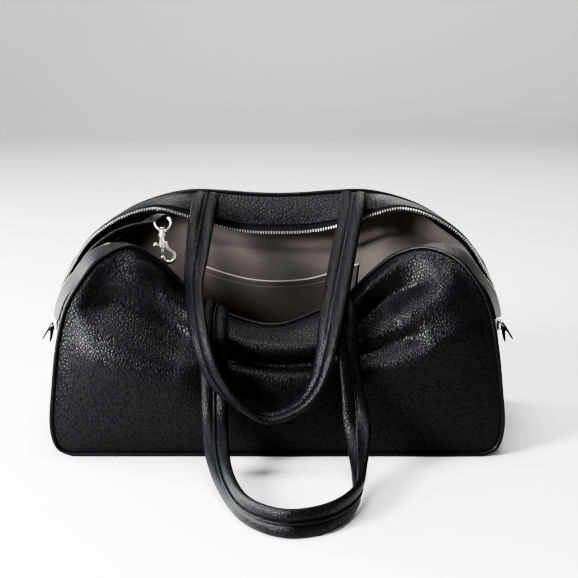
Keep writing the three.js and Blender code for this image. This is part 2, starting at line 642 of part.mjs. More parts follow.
// Heights below the bar.
const BOSS = { top: -12.6, bottom: -17, radius: 4.4 };
const HEAD = { top: -9.8, bottom: -12.2, radius: 2.9 };
const COLLAR = { top: -17.4, bottom: -20.2, radius: 5.4 };
const BARREL_BOTTOM = -33.4;
const BORE_TOP = -21;
const BOLT = { top: -28, bottom: -41, radius: 2, knob: -30, reach: -7.4, knobRadius: 2.5, stemRadius: 1.2 };
const EYE_LINE = [
  [-8, 0], [-3, 0], [3, 0], [8, 0], [10.6, -1.6], [11.4, -4.5], [10, -9], [6, -13], [0, -14.5],
];
const HOOK_LINE = [
  [3.5, -26], [3.9, -30], [5, -33.8], [8.6, -36.6], [11.8, -40.4], [12.6, -44.4], [10.2, -48],
  [6, -49.4], [2, -48], [0.1, -44.8], [0, -41.7],
];

const rod = (top, bottom, radius) => {
  const cylinder = new THREE.CylinderGeometry(radius, radius, top - bottom, 16);
  return cylinder.rotateX(Math.PI / 2).translate(0, 0, (top + bottom) / 2);
};
// The eye turns with the strap. The hook faces forwards.
const setInPlace = (geometry, turn = EYE_TURN) =>
  geometry.rotateZ(turn).translate(EYE_PLACE.x, EYE_PLACE.y, EYE_PLACE.z);

const eyeLeft = EYE_LINE.slice(4, -1).map(([x, z]) => [-x, z]).reverse();
const eyePlaces = [...EYE_LINE, ...eyeLeft].map(([x, z]) => new THREE.Vector3(x, 0, z));
const eyeWire = closedTube(eyePlaces, WIRE_RADIUS, 8);
const eyeBore = rod(BOSS.top + 6, BOSS.bottom - 1, PIN_RADIUS + RUNNING_GAP);
const eye = cut(join(eyeWire, rod(BOSS.top, BOSS.bottom, BOSS.radius)), eyeBore);
piece("hook_eye", setInPlace(eye), nickel);

const hookRows = HOOK_LINE.map(([x, z]) => ({ x, y: 0, z, wide_x: 0, wide_y: 1, wide_z: 0 }));
const hookSolid = join(
  rod(HEAD.top, HEAD.bottom, HEAD.radius),
  rod(HEAD.bottom + 0.5, COLLAR.top - 0.5, PIN_RADIUS),
  rod(COLLAR.top, COLLAR.bottom, COLLAR.radius),
  rod(COLLAR.bottom + 0.5, BARREL_BOTTOM, BARREL_RADIUS),
  sweep(roundSection(HOOK_WIRE, 8), hookRows, 22),
);
const slotHalf = BOLT.stemRadius + RUNNING_GAP;
const slotTop = BOLT.knob + BOLT_TRAVEL + slotHalf;
const slot = new THREE.BoxGeometry(BARREL_RADIUS + 2, 2 * slotHalf, slotTop - BOLT.knob + slotHalf);
slot.translate(-(BARREL_RADIUS + 2) / 2, 0, (slotTop + BOLT.knob - slotHalf) / 2);
const hook = cut(hookSolid, rod(BORE_TOP, BARREL_BOTTOM - 1, BOLT.radius + RUNNING_GAP), slot);
piece("hook_body", setInPlace(hook, 0), nickel);

const stem = new THREE.CylinderGeometry(BOLT.stemRadius, BOLT.stemRadius, -BOLT.reach, 12);
const bolt = join(
  rod(BOLT.top, BOLT.bottom, BOLT.radius),
  stem.rotateZ(Math.PI / 2).translate(BOLT.reach / 2, 0, BOLT.knob),
  new THREE.SphereGeometry(BOLT.knobRadius, 12, 8).translate(BOLT.reach - 0.6, 0, BOLT.knob),
);
piece("hook_bolt", setInPlace(bolt, 0), nickel);

const loopOutline = new THREE.Shape().absarc(0, 0, WIRE_RADIUS + RUNNING_GAP + LOOP_WALL, 0, 2 * Math.PI);
loopOutline.holes.push(new THREE.Path().absarc(0, 0, WIRE_RADIUS + RUNNING_GAP, 0, 2 * Math.PI, true));
const loopShape = { depth: LOOP_LENGTH, curveSegments: 16, bevelEnabled: false };
const loop = new THREE.ExtrudeGeometry(loopOutline, loopShape);
setInPlace(loop.translate(0, 0, -LOOP_LENGTH / 2).rotateY(Math.PI / 2));
const LOOP_LAP = 0.3; // how far the strap's face stands above the loop it is joined to
const loopTop = WIRE_RADIUS + RUNNING_GAP + LOOP_WALL / 2 + LOOP_LAP;
const along = new THREE.Vector2(-Math.sin(EYE_TURN), Math.cos(EYE_TURN)); // the strap's way over the bar
const bar = new THREE.Vector2(Math.cos(EYE_TURN), Math.sin(EYE_TURN));
const overBar = (back, up) => ({
  x: EYE_PLACE.x - back * along.x, y: EYE_PLACE.y - back * along.y, z: EYE_PLACE.z + up,
  wide_x: bar.x, wide_y: bar.y, wide_z: 0,
});
const KEY_STRAP = table(
  ["x", "y", "z", "wide_x", "wide_y", "wide_z"],
  [
    [-231, 20, 140, 0, -1, 0],
    [-227, 16, 160, 0, -1, 0.1],
    [-215, 8, 182, -0.2, -0.85, 0.35],
    [-197, -2, 202, -0.4, -0.6, 0.65],
    [-177, -8, 218, -0.45, -0.5, 0.7],
    [-158, -14, 229, -0.2, -0.8, 0.4],
  ],
);
const strapRows = [...KEY_STRAP, overBar(19, 0.5), overBar(8, loopTop), overBar(0, loopTop)];
const strapSection = [[-0.5, -0.5], [0.5, -0.5], [0.5, 0.5], [-0.5, 0.5]].map(
  ([wide, thick]) => new THREE.Vector2(wide * STRAP_WIDTH, thick * LOOP_WALL),
);
piece("key_strap", join(sweep(strapSection, strapRows, 26), loop), smoothLeather);

export default bag;
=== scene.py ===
"""The looks of a slumped black leather bowling bag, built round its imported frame.

Shapes are worked out in millimetres, as the frame's own tables are, and turned into metres as each mesh is
made. Stations count along the arch of the bag, from the left base corner over the mouth to the right one.
"""

import math
from functools import partial

import bpy
import numpy as np
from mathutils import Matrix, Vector


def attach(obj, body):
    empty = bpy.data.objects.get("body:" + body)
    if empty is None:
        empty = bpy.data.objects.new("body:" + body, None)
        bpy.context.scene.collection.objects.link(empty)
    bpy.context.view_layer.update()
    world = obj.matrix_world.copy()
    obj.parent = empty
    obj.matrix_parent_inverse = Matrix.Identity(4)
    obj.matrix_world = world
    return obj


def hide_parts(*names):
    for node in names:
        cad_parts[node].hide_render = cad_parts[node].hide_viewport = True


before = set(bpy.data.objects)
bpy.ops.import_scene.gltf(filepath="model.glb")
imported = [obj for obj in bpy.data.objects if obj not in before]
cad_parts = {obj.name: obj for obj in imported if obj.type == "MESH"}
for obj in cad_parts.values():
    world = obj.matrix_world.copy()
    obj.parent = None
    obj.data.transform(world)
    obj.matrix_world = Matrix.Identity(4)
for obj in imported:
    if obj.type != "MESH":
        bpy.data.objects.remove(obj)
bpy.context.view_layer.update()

MM = 0.001
BAG, EYE, HOOK, BOLT = "bag", "eye", "hook", "bolt"

# Driving dimensions, the same as the frame's
LEATHER = 2.0
CLOTH = 1.0
CLOTH_GAP = 1.4
SEAM_GAP = 0.4
PIPING_RADIUS = 2.4
PANEL_TRIM = 1.5  # how far a wall's edge stays from a seam's middle, tucked into the piping
BASE_Y = {"front": -105.0, "back": 105.0}
SEAM_BASE_Z = 2.8
GUSSET_SWELL = 4.5
STRIP_ARCH = 3.0
STRIP_STEP = 4.0
ZIP_END = 4.62
GUSSET_END = 4.85
TAPE_WIDTH = 8.0
HANDLE_WIDTH = 28.0
HANDLE_THICKNESS = 8.4


def table(columns, rows):
    """A table as one array for each named column."""
    return dict(zip(columns.split(), np.array(rows, float).T))


# A row for each station of the arch, from a base corner up to the middle of the mouth. The right half takes a
# column that is named for it, where there is one
STATIONS = table(
    "foot_x front_x front_y front_z front_z_right back_x back_y back_z belly crown_y crown_z",
    [
        (214, 216, -105, 2.8, 2.8, 216, 105, 2.8, 0, 0, 0),
        (209, 231, -105, 11, 11, 233, 105, 11, 1, 1, 4),
        (204, 236.5, -106, 36, 36, 241, 104, 36, 5, 4, 12),
        (196, 233, -107, 78, 78, 244, 101, 85, 10, 7, 26),
        (185, 228, -104, 121, 121, 243, 96, 128, 16, 11, 36),
        (171, 219, -98, 159, 162, 236, 88, 160, 21, 16, 42),
        (155, 204, -90, 185, 190, 222, 79, 186, 25, 22, 46),
        (138, 184, -78, 207, 209, 200, 71, 209, 28, 29, 46),
        (119, 155, -62, 217, 216, 166, 66, 234, 30, 36, 42),
        (98, 125, -52, 199, 206, 130, 62, 249, 31, 42, 32),
        (77, 99, -54, 174, 186, 95, 60, 256, 31, 46, 20),
        (55, 73, -62, 157, 163, 60, 59, 255, 31, 48, 10),
        (33, 44, -71, 143, 150, 30, 58, 253, 31, 50, 6),
        (0, 0, -77, 136, 136, 0, 58, 252, 31, 50, 4),
    ],
)
MIDDLE = len(STATIONS["foot_x"]) - 1
WHOLE = 2 * MIDDLE

# The open zip's two edges, a row for each station from FIRST_ZIP_STATION to the middle
FIRST_ZIP_STATION = 4
ZIP_EDGES = table(
    "front_x front_y front_z back_x back_y back_z",
    [
        (244, -3, 106, 244, 3, 106),
        (239, -7, 142, 239, 4, 143),
        (222, -13, 178, 226, 5, 180),
        (198, -15, 205, 204, 4, 213),
        (164, -14, 210, 170, 7, 236),
        (127, -21, 181, 134, 11, 245),
        (100, -23, 154, 97, 21, 234),
        (73, -28, 136, 62, 28, 221),
        (44, -35, 122, 31, 31, 215),
        (0, -40, 113, 0, 31, 214),
    ],
)

# The front panel's folds: the line each one follows, in X and Z, its half width, and its height, outwards
FOLDS = [
    ([(-166, 213), (-134, 191), (-107, 165), (-83, 140), (-66, 126)], 11, 7),
    ([(-206, 180), (-160, 164), (-118, 143), (-74, 120)], 21, -15),
    ([(-228, 116), (-183, 106), (-131, 93), (-70, 82)], 30, 9),
    ([(144, 209), (108, 187), (86, 163), (66, 140)], 9, 7),
    ([(166, 196), (123, 174), (92, 151), (64, 122)], 14, -16),
    ([(196, 190), (160, 168), (124, 146)], 18, 6),
    ([(156, 137), (108, 119), (66, 105)], 9, -8),
    ([(216, 152), (186, 131), (148, 112), (102, 94), (74, 84)], 22, 8),
    ([(-74, 133), (-28, 121), (8, 119), (44, 122), (76, 135)], 7.5, 6),
    ([(-86, 119), (-27, 107), (8, 104), (44, 107), (84, 118)], 8.5, -11),
]
FOLD_STEPS = 200
FOLD_START = 0.25  # the shares of its line by which a fold has risen, and from which it sinks
FOLD_FINISH = 0.8
FOLD_FADE = 22.0  # how far from a panel's edges the folds have their full height

# The way folds stand out, on the panel's face and on its crown, near the top seam
FACE_OUT = np.array([0, -0.95, 0.3])
CROWN_OUT = np.array([0, -0.6, 0.8])
CROWN_REACH = (60, 20)  # from the seam: where the crown starts, and where it is whole

# How a panel bulges and leans. Pairs are stations from a base corner, where a change starts and ends
SEAM_STEP = 0.05  # in stations, for directions along a seam
BELLY_RISE = 0.42  # the belly's height, as a share of the panel's
BELLY_SHIFT = 0.12  # how far its place has gone from the foot towards the top
BACK_BELLY = 9.0
BACK_BELLY_STATIONS = (0, 6)
BACK_CROWN = 26.0
BACK_CROWN_RISE = 3 * BACK_CROWN  # the height from which the back's crown is whole
BACK_LEAN = 0.35  # how far the back's crown leans out, for its height
SQUARE_STATIONS = (4, 8)  # below, a panel meets its seam squarely
LEAN_STATIONS = (3, 9)
LEAN_WEIGHT = 3
SWELL_STATIONS = (0.2, 2)
STEP_STATIONS = (6.2, 5.2)
ARCH_STATIONS = (5, 7)


# Small mathematics


def smooth_value(values, position):
    """Catmull-Rom through equally spaced values."""
    position = np.asarray(position, float)
    i = np.clip(np.floor(position).astype(int), 0, len(values) - 2)
    t = position - i
    a, b, c, d = (values[np.clip(i + k, 0, len(values) - 1)] for k in (-1, 0, 1, 2))
    return b + 0.5 * t * (c - a + t * (2 * a - 5 * b + 4 * c - d + t * (3 * (b - c) + d - a)))


def smooth_step(low, high, value):
    t = np.clip((np.asarray(value, float) - low) / (high - low), 0, 1)
    return t * t * (3 - 2 * t)


def bow(share):
    """A parabola that is 0 at both ends of a share and 1 halfway."""
    return 4 * share * (1 - share)


def length_of(v):
    return np.linalg.norm(v, axis=-1)


def unit(v):
    return v / np.maximum(length_of(v)[..., None], 1e-9)


def dot(a, b):
    return np.sum(a * b, axis=-1, keepdims=True)


def square_to(tangent, v):
    """The direction of a vector once its part along a tangent is taken away."""
    return unit(v - tangent * dot(v, tangent))


def run_of(places):
    """How far along a line each of its places is."""
    return np.concatenate([[0], np.cumsum(length_of(np.diff(places, axis=0)))])


def along_line(at, run, places):
    """The places at some distances along a line."""
    return np.stack([np.interp(at, run, values) for values in places.T], -1)


def xyz(x, y, z):
    """Points from their coordinates, some of which may be single numbers."""
    return np.stack(np.broadcast_arrays(x, y, z), -1)


def smooth_places(columns, position):
    """Points on the smooth line through equally spaced coordinates."""
    return np.stack([smooth_value(values, position) for values in columns], -1)


def across_bag(rows, name):
    """A column of a half table as values for the whole bag, where X changes its sign on the left."""
    left = -rows[name] if name.endswith("_x") else rows[name]
    right = rows.get(name + "_right", rows[name])[::-1]
    return np.concatenate([left[:-1], [(left[-1] + right[0]) / 2], right[1:]])


FACES = ("front", "back")
SEAM, ZIP = (
    {face: [across_bag(rows, f"{face}_{axis}") for axis in "xyz"] for face in FACES}
    for rows in (STATIONS, ZIP_EDGES)
)
FOOT, BELLY, CROWN_Y, CROWN_Z = (
    across_bag(STATIONS, name) for name in ("foot_x", "belly", "crown_y", "crown_z")
)


def seam_point(face, station):
    return smooth_places(SEAM[face], station)


def seam_tangent(face, station):
    return unit(seam_point(face, station + SEAM_STEP) - seam_point(face, station - SEAM_STEP))


def zip_point(face, station):
    return smooth_places(ZIP[face], station - FIRST_ZIP_STATION)


def by_station(ends, station):
    """A share for each station, which changes between two stations counted from the nearer base corner."""
    return smooth_step(*ends, np.minimum(station, WHOLE - station))[:, None]


# Surfaces, as grids of points


def panel_lines(face, station):
    """The four control points of the line up a panel at each station."""
    front = face == "front"
    foot = xyz(smooth_value(FOOT, station), BASE_Y[face], SEAM_BASE_Z + PANEL_TRIM)
    top = seam_point(face, station)
    tangent = seam_tangent(face, station)
    if front:
        belly = -smooth_value(BELLY, station)
        lean = xyz(0, -smooth_value(CROWN_Y, station), -smooth_value(CROWN_Z, station))
    else:
        belly = BACK_BELLY * by_station(BACK_BELLY_STATIONS, station)[:, 0]
        share = np.minimum(1, top[:, 2] / BACK_CROWN_RISE)
        lean = xyz(0, BACK_CROWN * BACK_LEAN * share, -BACK_CROWN * share)
    inward = square_to(tangent, foot - top)
    square = 1 - by_station(SQUARE_STATIONS, station)
    square_lean = inward * length_of(lean)[:, None]
    square_lean[:, 1] = lean[:, 1] / 2
    lean = lean + square * (square_lean - lean)
    down = inward + LEAN_WEIGHT * by_station(LEAN_STATIONS, station) * unit(lean)
    top = top + PANEL_TRIM * square_to(tangent, down)
    low = foot + BELLY_SHIFT * (top - foot)
    low[:, 1] = foot[:, 1] + belly
    low[:, 2] = foot[:, 2] + BELLY_RISE * (top[:, 2] - foot[:, 2])
    return foot, low, top + lean, top


def fold_height(x, z, folds):
    """The height that a table of folds has at a place."""
    total = np.zeros_like(x)
    for line, width, height in folds:
        at = np.linspace(0, len(line) - 1, FOLD_STEPS)
        line_x, line_z = smooth_places(np.array(line, float).T, at).T
        square = (x[..., None] - line_x) ** 2 + (z[..., None] - line_z) ** 2
        share = square.argmin(axis=-1) / (FOLD_STEPS - 1)
        ends = smooth_step(0, FOLD_START, share) * smooth_step(1, FOLD_FINISH, share)
        total += height * ends * np.exp(-square.min(axis=-1) / width**2)
    return total


LINE_STEPS = np.linspace(0, 1, 160)


def panel_grid(face, station, rise, share=1.0, sink=0.0):
    """A panel's points at every station and rise. The front has a share of its folds, sunk a little."""
    p0, p1, p2, p3 = (p[:, None] for p in panel_lines(face, station))
    t = LINE_STEPS[None, :, None]
    line = p0 * (1 - t) ** 3 + 3 * p1 * t * (1 - t) ** 2 + 3 * p2 * t**2 * (1 - t) + p3 * t**3
    run = np.array([run_of(places) for places in line])
    length = run[:, -1:]
    grid = np.array([along_line(rise * r[-1], r, places) for r, places in zip(run, line)])
    if face == "back":
        return grid
    drop = (1 - rise) * length
    edge = smooth_step(0, FOLD_FADE, drop) * smooth_step(0, FOLD_FADE, rise * length)
    out = FACE_OUT + smooth_step(*CROWN_REACH, drop)[..., None] * (CROWN_OUT - FACE_OUT)
    height = edge * (share * fold_height(grid[..., 0], grid[..., 2], FOLDS) - sink)
    return grid + out * height[..., None]


def side_grid(station, across):
    """A side's points, with across running from the front seam to the back seam."""
    front = seam_point("front", station)[:, None]
    back = seam_point("back", station)[:, None]
    width = length_of(back - front)
    share = (PANEL_TRIM + across * (width - 2 * PANEL_TRIM)) / width
    grid = front + share[..., None] * (back - front)
    swell = GUSSET_SWELL * bow(share) * by_station(SWELL_STATIONS, station)
    grid[..., 0] += np.sign(grid[..., 0]) * swell
    return grid


def strip_grid(face, station, reach):
    """Points between the zip's edge and a seam: reach is each point's distance from the zip."""
    seam = seam_point(face, station)[:, None]
    edge = zip_point(face, station)[:, None]
    share = reach / length_of(seam - edge)
    tangent = seam_tangent(face, station)[:, None]
    up = unit(np.cross(tangent, edge - seam)) * (1 if face == "front" else -1)
    lift = STRIP_STEP * by_station(STEP_STATIONS, station)
    arch = STRIP_ARCH * bow(share) * by_station(ARCH_STATIONS, station)
    return edge + share[..., None] * (seam - edge) + up * (arch + lift)[..., None]


# Meshes


def inward_normals(grid, inside):
    """A grid's normals, facing a point inside the bag, and whether they were turned for that."""
    normal = unit(np.cross(np.gradient(grid, axis=0), np.gradient(grid, axis=1)))
    middle = (grid.shape[0] // 2, grid.shape[1] // 2)
    turned = np.dot(normal[middle], np.array(inside) - grid[middle]) < 0
    return (-normal if turned else normal), turned


def add_object(name, data):
    made = bpy.data.objects.new(name, data)
    bpy.context.scene.collection.objects.link(made)
    return made


def add_mesh(node, kind, solid, material, body=BAG, extra=False):
    """A smooth piece from millimetre vertices, which replaces its CAD node unless it is an extra."""
    name = f"{node}_{kind}"
    vertices, faces = solid
    mesh = bpy.data.meshes.new(name)
    mesh.from_pydata((np.asarray(vertices) * MM).tolist(), [], [tuple(map(int, f)) for f in faces])
    mesh.validate()
    mesh.shade_smooth()
    piece = add_object(name, mesh)
    mesh.materials.append(material)
    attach(piece, body)
    if not extra:
        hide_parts(node)
    return piece


def grid_faces(rows, columns, first, flip):
    i, j = np.meshgrid(np.arange(rows - 1), np.arange(columns - 1), indexing="ij")
    a = (first + i * columns + j).ravel()
    quads = np.stack([a, a + columns, a + columns + 1, a + 1], -1)
    return quads[:, ::-1] if flip else quads


def shell(grid, depth, thickness, inside):
    """A closed wall made from a grid of points, starting at a depth towards a point inside the bag."""
    rows, columns = grid.shape[:2]
    inward, turned = inward_normals(grid, inside)
    outer = grid + inward * depth
    inner = outer + inward * thickness
    vertices = np.concatenate([outer.reshape(-1, 3), inner.reshape(-1, 3)])
    count = rows * columns
    faces = [grid_faces(rows, columns, 0, not turned), grid_faces(rows, columns, count, turned)]
    ids = np.arange(count).reshape(rows, columns)
    loop = np.concatenate([ids[:-1, 0], ids[-1, :-1], ids[:0:-1, -1], ids[0, :0:-1]])
    following = np.roll(loop, -1)
    rim = np.stack([loop, following, following + count, loop + count], -1)
    faces.append(rim[:, ::-1] if turned else rim)
    return vertices, np.concatenate(faces)


def tube_faces(rings, sides, closed):
    r, k = np.meshgrid(np.arange(rings if closed else rings - 1), np.arange(sides), indexing="ij")
    next_r, next_k = (r + 1) % rings, (k + 1) % sides
    corners = [r * sides + k, r * sides + next_k, next_r * sides + next_k, next_r * sides + k]
    return np.stack(corners, -1).reshape(-1, 4)


def circle(radius, sides):
    angle = np.linspace(0, 2 * math.pi, sides, endpoint=False)
    return np.stack([radius * np.cos(angle), radius * np.sin(angle)], -1)


def arc(middle, size, ends, count):
    """Points round an ellipse, between two angles in degrees."""
    angle = np.radians(np.linspace(*ends, count))
    return np.array(middle) + size * np.stack([np.cos(angle), np.sin(angle)], -1)


def swept(section, place, wide, thick):
    """The points of a section of (width, thickness) points at each of a line's frames."""
    ring = section[:, :1] * wide[:, None] + section[:, 1:] * thick[:, None]
    return (place[:, None] + ring).reshape(-1, 3)


def closed_tube(places, radius, sides):
    """A round tube along a closed line of places that never runs along Y."""
    tangent = unit(np.roll(places, -1, axis=0) - np.roll(places, 1, axis=0))
    across = square_to(tangent, np.array([0.0, 1, 0]))
    vertices = swept(circle(radius, sides), places, across, np.cross(tangent, across))
    return vertices, tube_faces(len(places), sides, True)[:, ::-1]


CURVE_STEPS = 40  # fine steps between two points of a route


def evenly(places, count):
    """A closed line of places resampled to equal steps."""
    loop = np.concatenate([places, places[:1]])
    run = run_of(loop)
    at = np.linspace(0, run[-1], count, endpoint=False)
    return along_line(at, run, loop)


def sweep_frames(rows, count):
    """Places, width and thickness directions at equal steps along a route of (place, width) rows."""
    columns = np.array(rows, float).T
    dense = np.linspace(0, len(rows) - 1, CURVE_STEPS * len(rows))
    run = run_of(smooth_places(columns[:3], dense))
    at = np.interp(np.linspace(0, run[-1], count), run, dense)
    place, wide = smooth_places(columns[:3], at), smooth_places(columns[3:], at)
    tangent = unit(np.gradient(place, axis=0))
    wide = square_to(tangent, wide)
    return place, wide, np.cross(tangent, wide)


def upright(places):
    """A route through places whose width points up."""
    return np.concatenate([places, np.broadcast_to([0.0, 0, 1], places.shape)], 1)


def sweep(section, place, wide, thick):
    """A section of (width, thickness) points swept along frames, closed at both ends."""
    return swept(section, place, wide, thick), tube_solid(len(place), len(section))


def merge(*solids):
    """Several (vertices, faces) pairs as one."""
    vertices, faces, first = [], [], 0
    for points, polygons in solids:
        vertices.append(np.asarray(points))
        faces += [[first + int(k) for k in polygon] for polygon in polygons]
        first += len(points)
    return np.concatenate(vertices), faces


def lathe(profile, sides):
    """A profile of (radius, height) points turned about Z. An end at no radius closes itself."""
    profile = np.array(profile, float)
    across = profile[:, None, :1] * circle(1, sides)
    up = np.broadcast_to(profile[:, None, 1:], (len(profile), sides, 1))
    vertices = np.concatenate([across, up], -1).reshape(-1, 3)
    return vertices, tube_faces(len(profile), sides, False)


def tube_solid(rings, sides):
    """The faces of a tube with both ends closed."""
    faces = tube_faces(rings, sides, False).tolist()
    faces.append(list(range(sides))[::-1])
    faces.append(list(range((rings - 1) * sides, rings * sides)))
    return faces


def copies(shape, rings, place, axes):
    """A small solid, made of rings of points, repeated at each place along the axes there."""
    one = tube_solid(rings, len(shape) // rings)
    vertices = (place[:, None] + shape @ axes).reshape(-1, 3)
    faces = [[i * len(shape) + k for k in face] for i in range(len(place)) for face in one]
    return vertices, faces


STITCH_RINGS = ((-0.5, 0.3), (-0.42, 0.8), (-0.2, 1.0), (0.2, 1.0), (0.42, 0.8), (0.5, 0.3))
STITCH_SIDES = 6


def stitches(place, along, out, length, radius):
    """A small rounded stitch at each place, lying along a direction."""
    side = np.cross(out, along)
    ring = circle(radius, STITCH_SIDES)
    shape = np.array([(length * x, r * y, r * z) for x, r in STITCH_RINGS for y, z in ring])
    return copies(shape, len(STITCH_RINGS), place, np.stack([along, side, out], 1))


# Materials


def set_inputs(node, values):
    """Sets a node's inputs. One that is given another node's output is linked to it."""
    for name, value in values.items():
        if isinstance(value, bpy.types.NodeSocket):
            node.id_data.links.new(value, node.inputs[name])
        else:
            node.inputs[name].default_value = value


def add_node(nodes, kind, output, values=(), **settings):
    """The named output of a new node with some inputs and settings."""
    node = nodes.new("ShaderNode" + kind)
    for name, value in settings.items():
        setattr(node, name, value)
    set_inputs(node, dict(values))
    return node.outputs[output]


def add_ramp(nodes, value, stops, easing="LINEAR"):
    """The output of a colour ramp with (place, colour) stops."""
    node = nodes.new("ShaderNodeValToRGB")
    set_inputs(node, {"Fac": value})
    node.color_ramp.interpolation = easing
    elements = node.color_ramp.elements
    while len(elements) < len(stops):
        elements.new(0.5)
    for element, (place, colour) in zip(elements, stops):
        element.position = place
        element.color = (*colour, 1)
    return node.outputs["Color"]


def greys(stops):
    return [(place, (grey,) * 3) for place, grey in stops]


SHADER = "Principled BSDF"


def new_material(name, colour, roughness, metallic=0.0, specular=0.5):
    material = bpy.data.materials.new(name)
    material.use_nodes = True
    finish = {"Roughness": roughness, "Metallic": metallic, "Specular IOR Level": specular}
    set_inputs(material.node_tree.nodes[SHADER], {"Base Color": (*colour, 1), **finish})
    return material


# The leather's grain. The warp's and the fine noise's scales are times the grain's
GRAIN_TURN = (0, math.radians(35), math.radians(20))
GRAIN_STRETCH = (1.1, 1.1, 0.82)
WARP_SCALE, WARP_REACH = 0.55, 0.6
DOME_STOPS = greys([(0.0, 1.0), (0.9, 0.0)])
CREASE_STOPS = greys([(0.0, 0.0), (0.1, 0.55), (0.22, 0.9), (0.4, 1.0)])
CREASE_SHARE = 0.55
# The sheen left in the grain's creases, turned down there as a painted shade
CREASE_SHADE_SHINE = 0.1
FINE_SCALE, FINE_SHARE = 4, 0.12
LEATHER_TINT = 0.6  # dims the leather's sheen
WEAR_SCALE = 28
WEAR_RANGE = (0.3, 0.7)


def leather_material(name, colour, roughness, grain, depth, shine):
    """Leather with domed pebbles, as many to a metre as its grain, between creases of a depth in millimetres.

    The creases shine less than the pebbles, a painted shade in the creases, and the roughness wanders slowly
    between its two values.
    """
    material = new_material(name, colour, roughness[0])
    nodes = material.node_tree.nodes
    add = partial(add_node, nodes)
    place = add("TexCoord", "Object")
    lie = add("Mapping", "Vector", {"Vector": place, "Rotation": GRAIN_TURN, "Scale": GRAIN_STRETCH})
    warp = add("TexNoise", "Color", {"Vector": place, "Scale": grain * WARP_SCALE})
    reach = (WARP_REACH / grain,) * 3
    shift = add("VectorMath", "Vector", {0: warp, 1: reach, 2: lie}, operation="MULTIPLY_ADD")
    cells = {"Vector": shift, "Scale": grain}
    dome = add_ramp(nodes, add("TexVoronoi", "Distance", cells), DOME_STOPS, "EASE")
    edges = add("TexVoronoi", "Distance", cells, feature="DISTANCE_TO_EDGE")
    crease = add_ramp(nodes, edges, CREASE_STOPS, "B_SPLINE")
    coarse = add("Mix", "Result", {"Factor": CREASE_SHARE, "A": dome, "B": crease})
    fine = add("TexNoise", "Fac", {"Vector": place, "Scale": grain * FINE_SCALE, "Detail": 3})
    height = add("Mix", "Result", {"Factor": FINE_SHARE, "A": coarse, "B": fine})
    bump = add("Bump", "Normal", {"Height": height, "Distance": depth * MM, "Strength": 1})
    # Painted shade: the sheen falls from the pebbles' tops down into the creases, as if they were shadowed
    shine_with_crease_shade = add("MapRange", "Result", {"Value": height, "To Min": CREASE_SHADE_SHINE, "To Max": shine})
    wear = add("TexNoise", "Fac", {"Vector": place, "Scale": WEAR_SCALE, "Detail": 4})
    limits = zip(("From Min", "From Max", "To Min", "To Max"), (*WEAR_RANGE, *roughness))
    worn = add("MapRange", "Result", {"Value": wear, **dict(limits)})
    tint = (LEATHER_TINT, LEATHER_TINT, LEATHER_TINT, 1)
    finish = {"Normal": bump, "Specular IOR Level": shine_with_crease_shade, "Specular Tint": tint, "Roughness": worn}
    set_inputs(nodes[SHADER], finish)
    return material


SLUB_SCALE, SLUB_DEPTH = 420, 0.25
PATCH_SCALE = 16
PATCH_SHADES = ((0.3, 0.8), (0.7, 1.2))  # the noise's value, and the colour's share there


def cloth_material(name, colour, roughness):
    """Cloth with a soft slub and broad, faint patches."""
    material = new_material(name, colour, roughness, specular=0.2)
    nodes = material.node_tree.nodes
    add = partial(add_node, nodes)
    place = add("TexCoord", "Object")
    slub = add("TexNoise", "Fac", {"Vector": place, "Scale": SLUB_SCALE, "Detail": 3})
    bump = add("Bump", "Normal", {"Height": slub, "Distance": SLUB_DEPTH * MM})
    patch = add("TexNoise", "Fac", {"Vector": place, "Scale": PATCH_SCALE})
    stops = [(value, [share * c for c in colour]) for value, share in PATCH_SHADES]
    set_inputs(nodes[SHADER], {"Normal": bump, "Base Color": add_ramp(nodes, patch, stops)})
    return material


BLACK = (0.004, 0.004, 0.0045)
PEBBLED = leather_material("pebbled_leather", BLACK, (0.36, 0.44), grain=350, depth=0.4, shine=0.4)
SMOOTH = leather_material("smooth_leather", BLACK, (0.3, 0.38), grain=700, depth=0.14, shine=0.42)
STRAP = leather_material("strap_leather", BLACK, (0.36, 0.44), grain=440, depth=0.36, shine=0.42)
THREAD = new_material("thread", (0.012, 0.012, 0.013), 0.55)
# Pale cloth: on the pocket's rolled hem it is a painted highlight along the folded top edge, and the pocket's
# stitches share it
HEM_HIGHLIGHT_LOOK = new_material("hem", (0.3, 0.28, 0.27), 0.8, specular=0.2)
CLOTH_LOOK = cloth_material("lining_cloth", (0.115, 0.106, 0.102), 0.85)
NICKEL = new_material("bright_metal", (0.74, 0.73, 0.7), 0.24, 0.92)
TAPE_LOOK = new_material("zip_tape", (0.004, 0.004, 0.005), 0.9, specular=0.15)


def dress(node, material):
    """A CAD solid that is kept as it is, in a better material."""
    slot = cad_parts[node].material_slots[0]
    slot.link = "OBJECT"
    slot.material = material


INSIDE = (0.0, 0.0, 90.0)
MOUTH_INSIDE = (0.0, 0.0, 60.0)  # below every part of the zip


# The leather walls and the piping between them

# Counts are points along and across a wall
PANEL_ENDS = 0.35
PANEL_COLUMNS = 300
PANEL_ROWS = {"front": 130, "back": 60}
SIDE_START = 0.06
SIDE_COUNTS = (70, 60)
STRIP_COUNTS = (360, 26)
PIPING_ARCH_STEPS, PIPING_UNDER_STEPS = 600, 80
PIPING_RINGS, PIPING_SIDES = 900, 14


def add_wall(node, grid, inside=INSIDE):
    """A pebbled leather wall that stands for a CAD node."""
    add_mesh(node, "leather", shell(grid, 0, LEATHER, inside), PEBBLED)


def add_panels():
    station = np.linspace(PANEL_ENDS, WHOLE - PANEL_ENDS, PANEL_COLUMNS)
    for face, rows in PANEL_ROWS.items():
        add_wall(face + "_panel", panel_grid(face, station, np.linspace(0, 1, rows)))


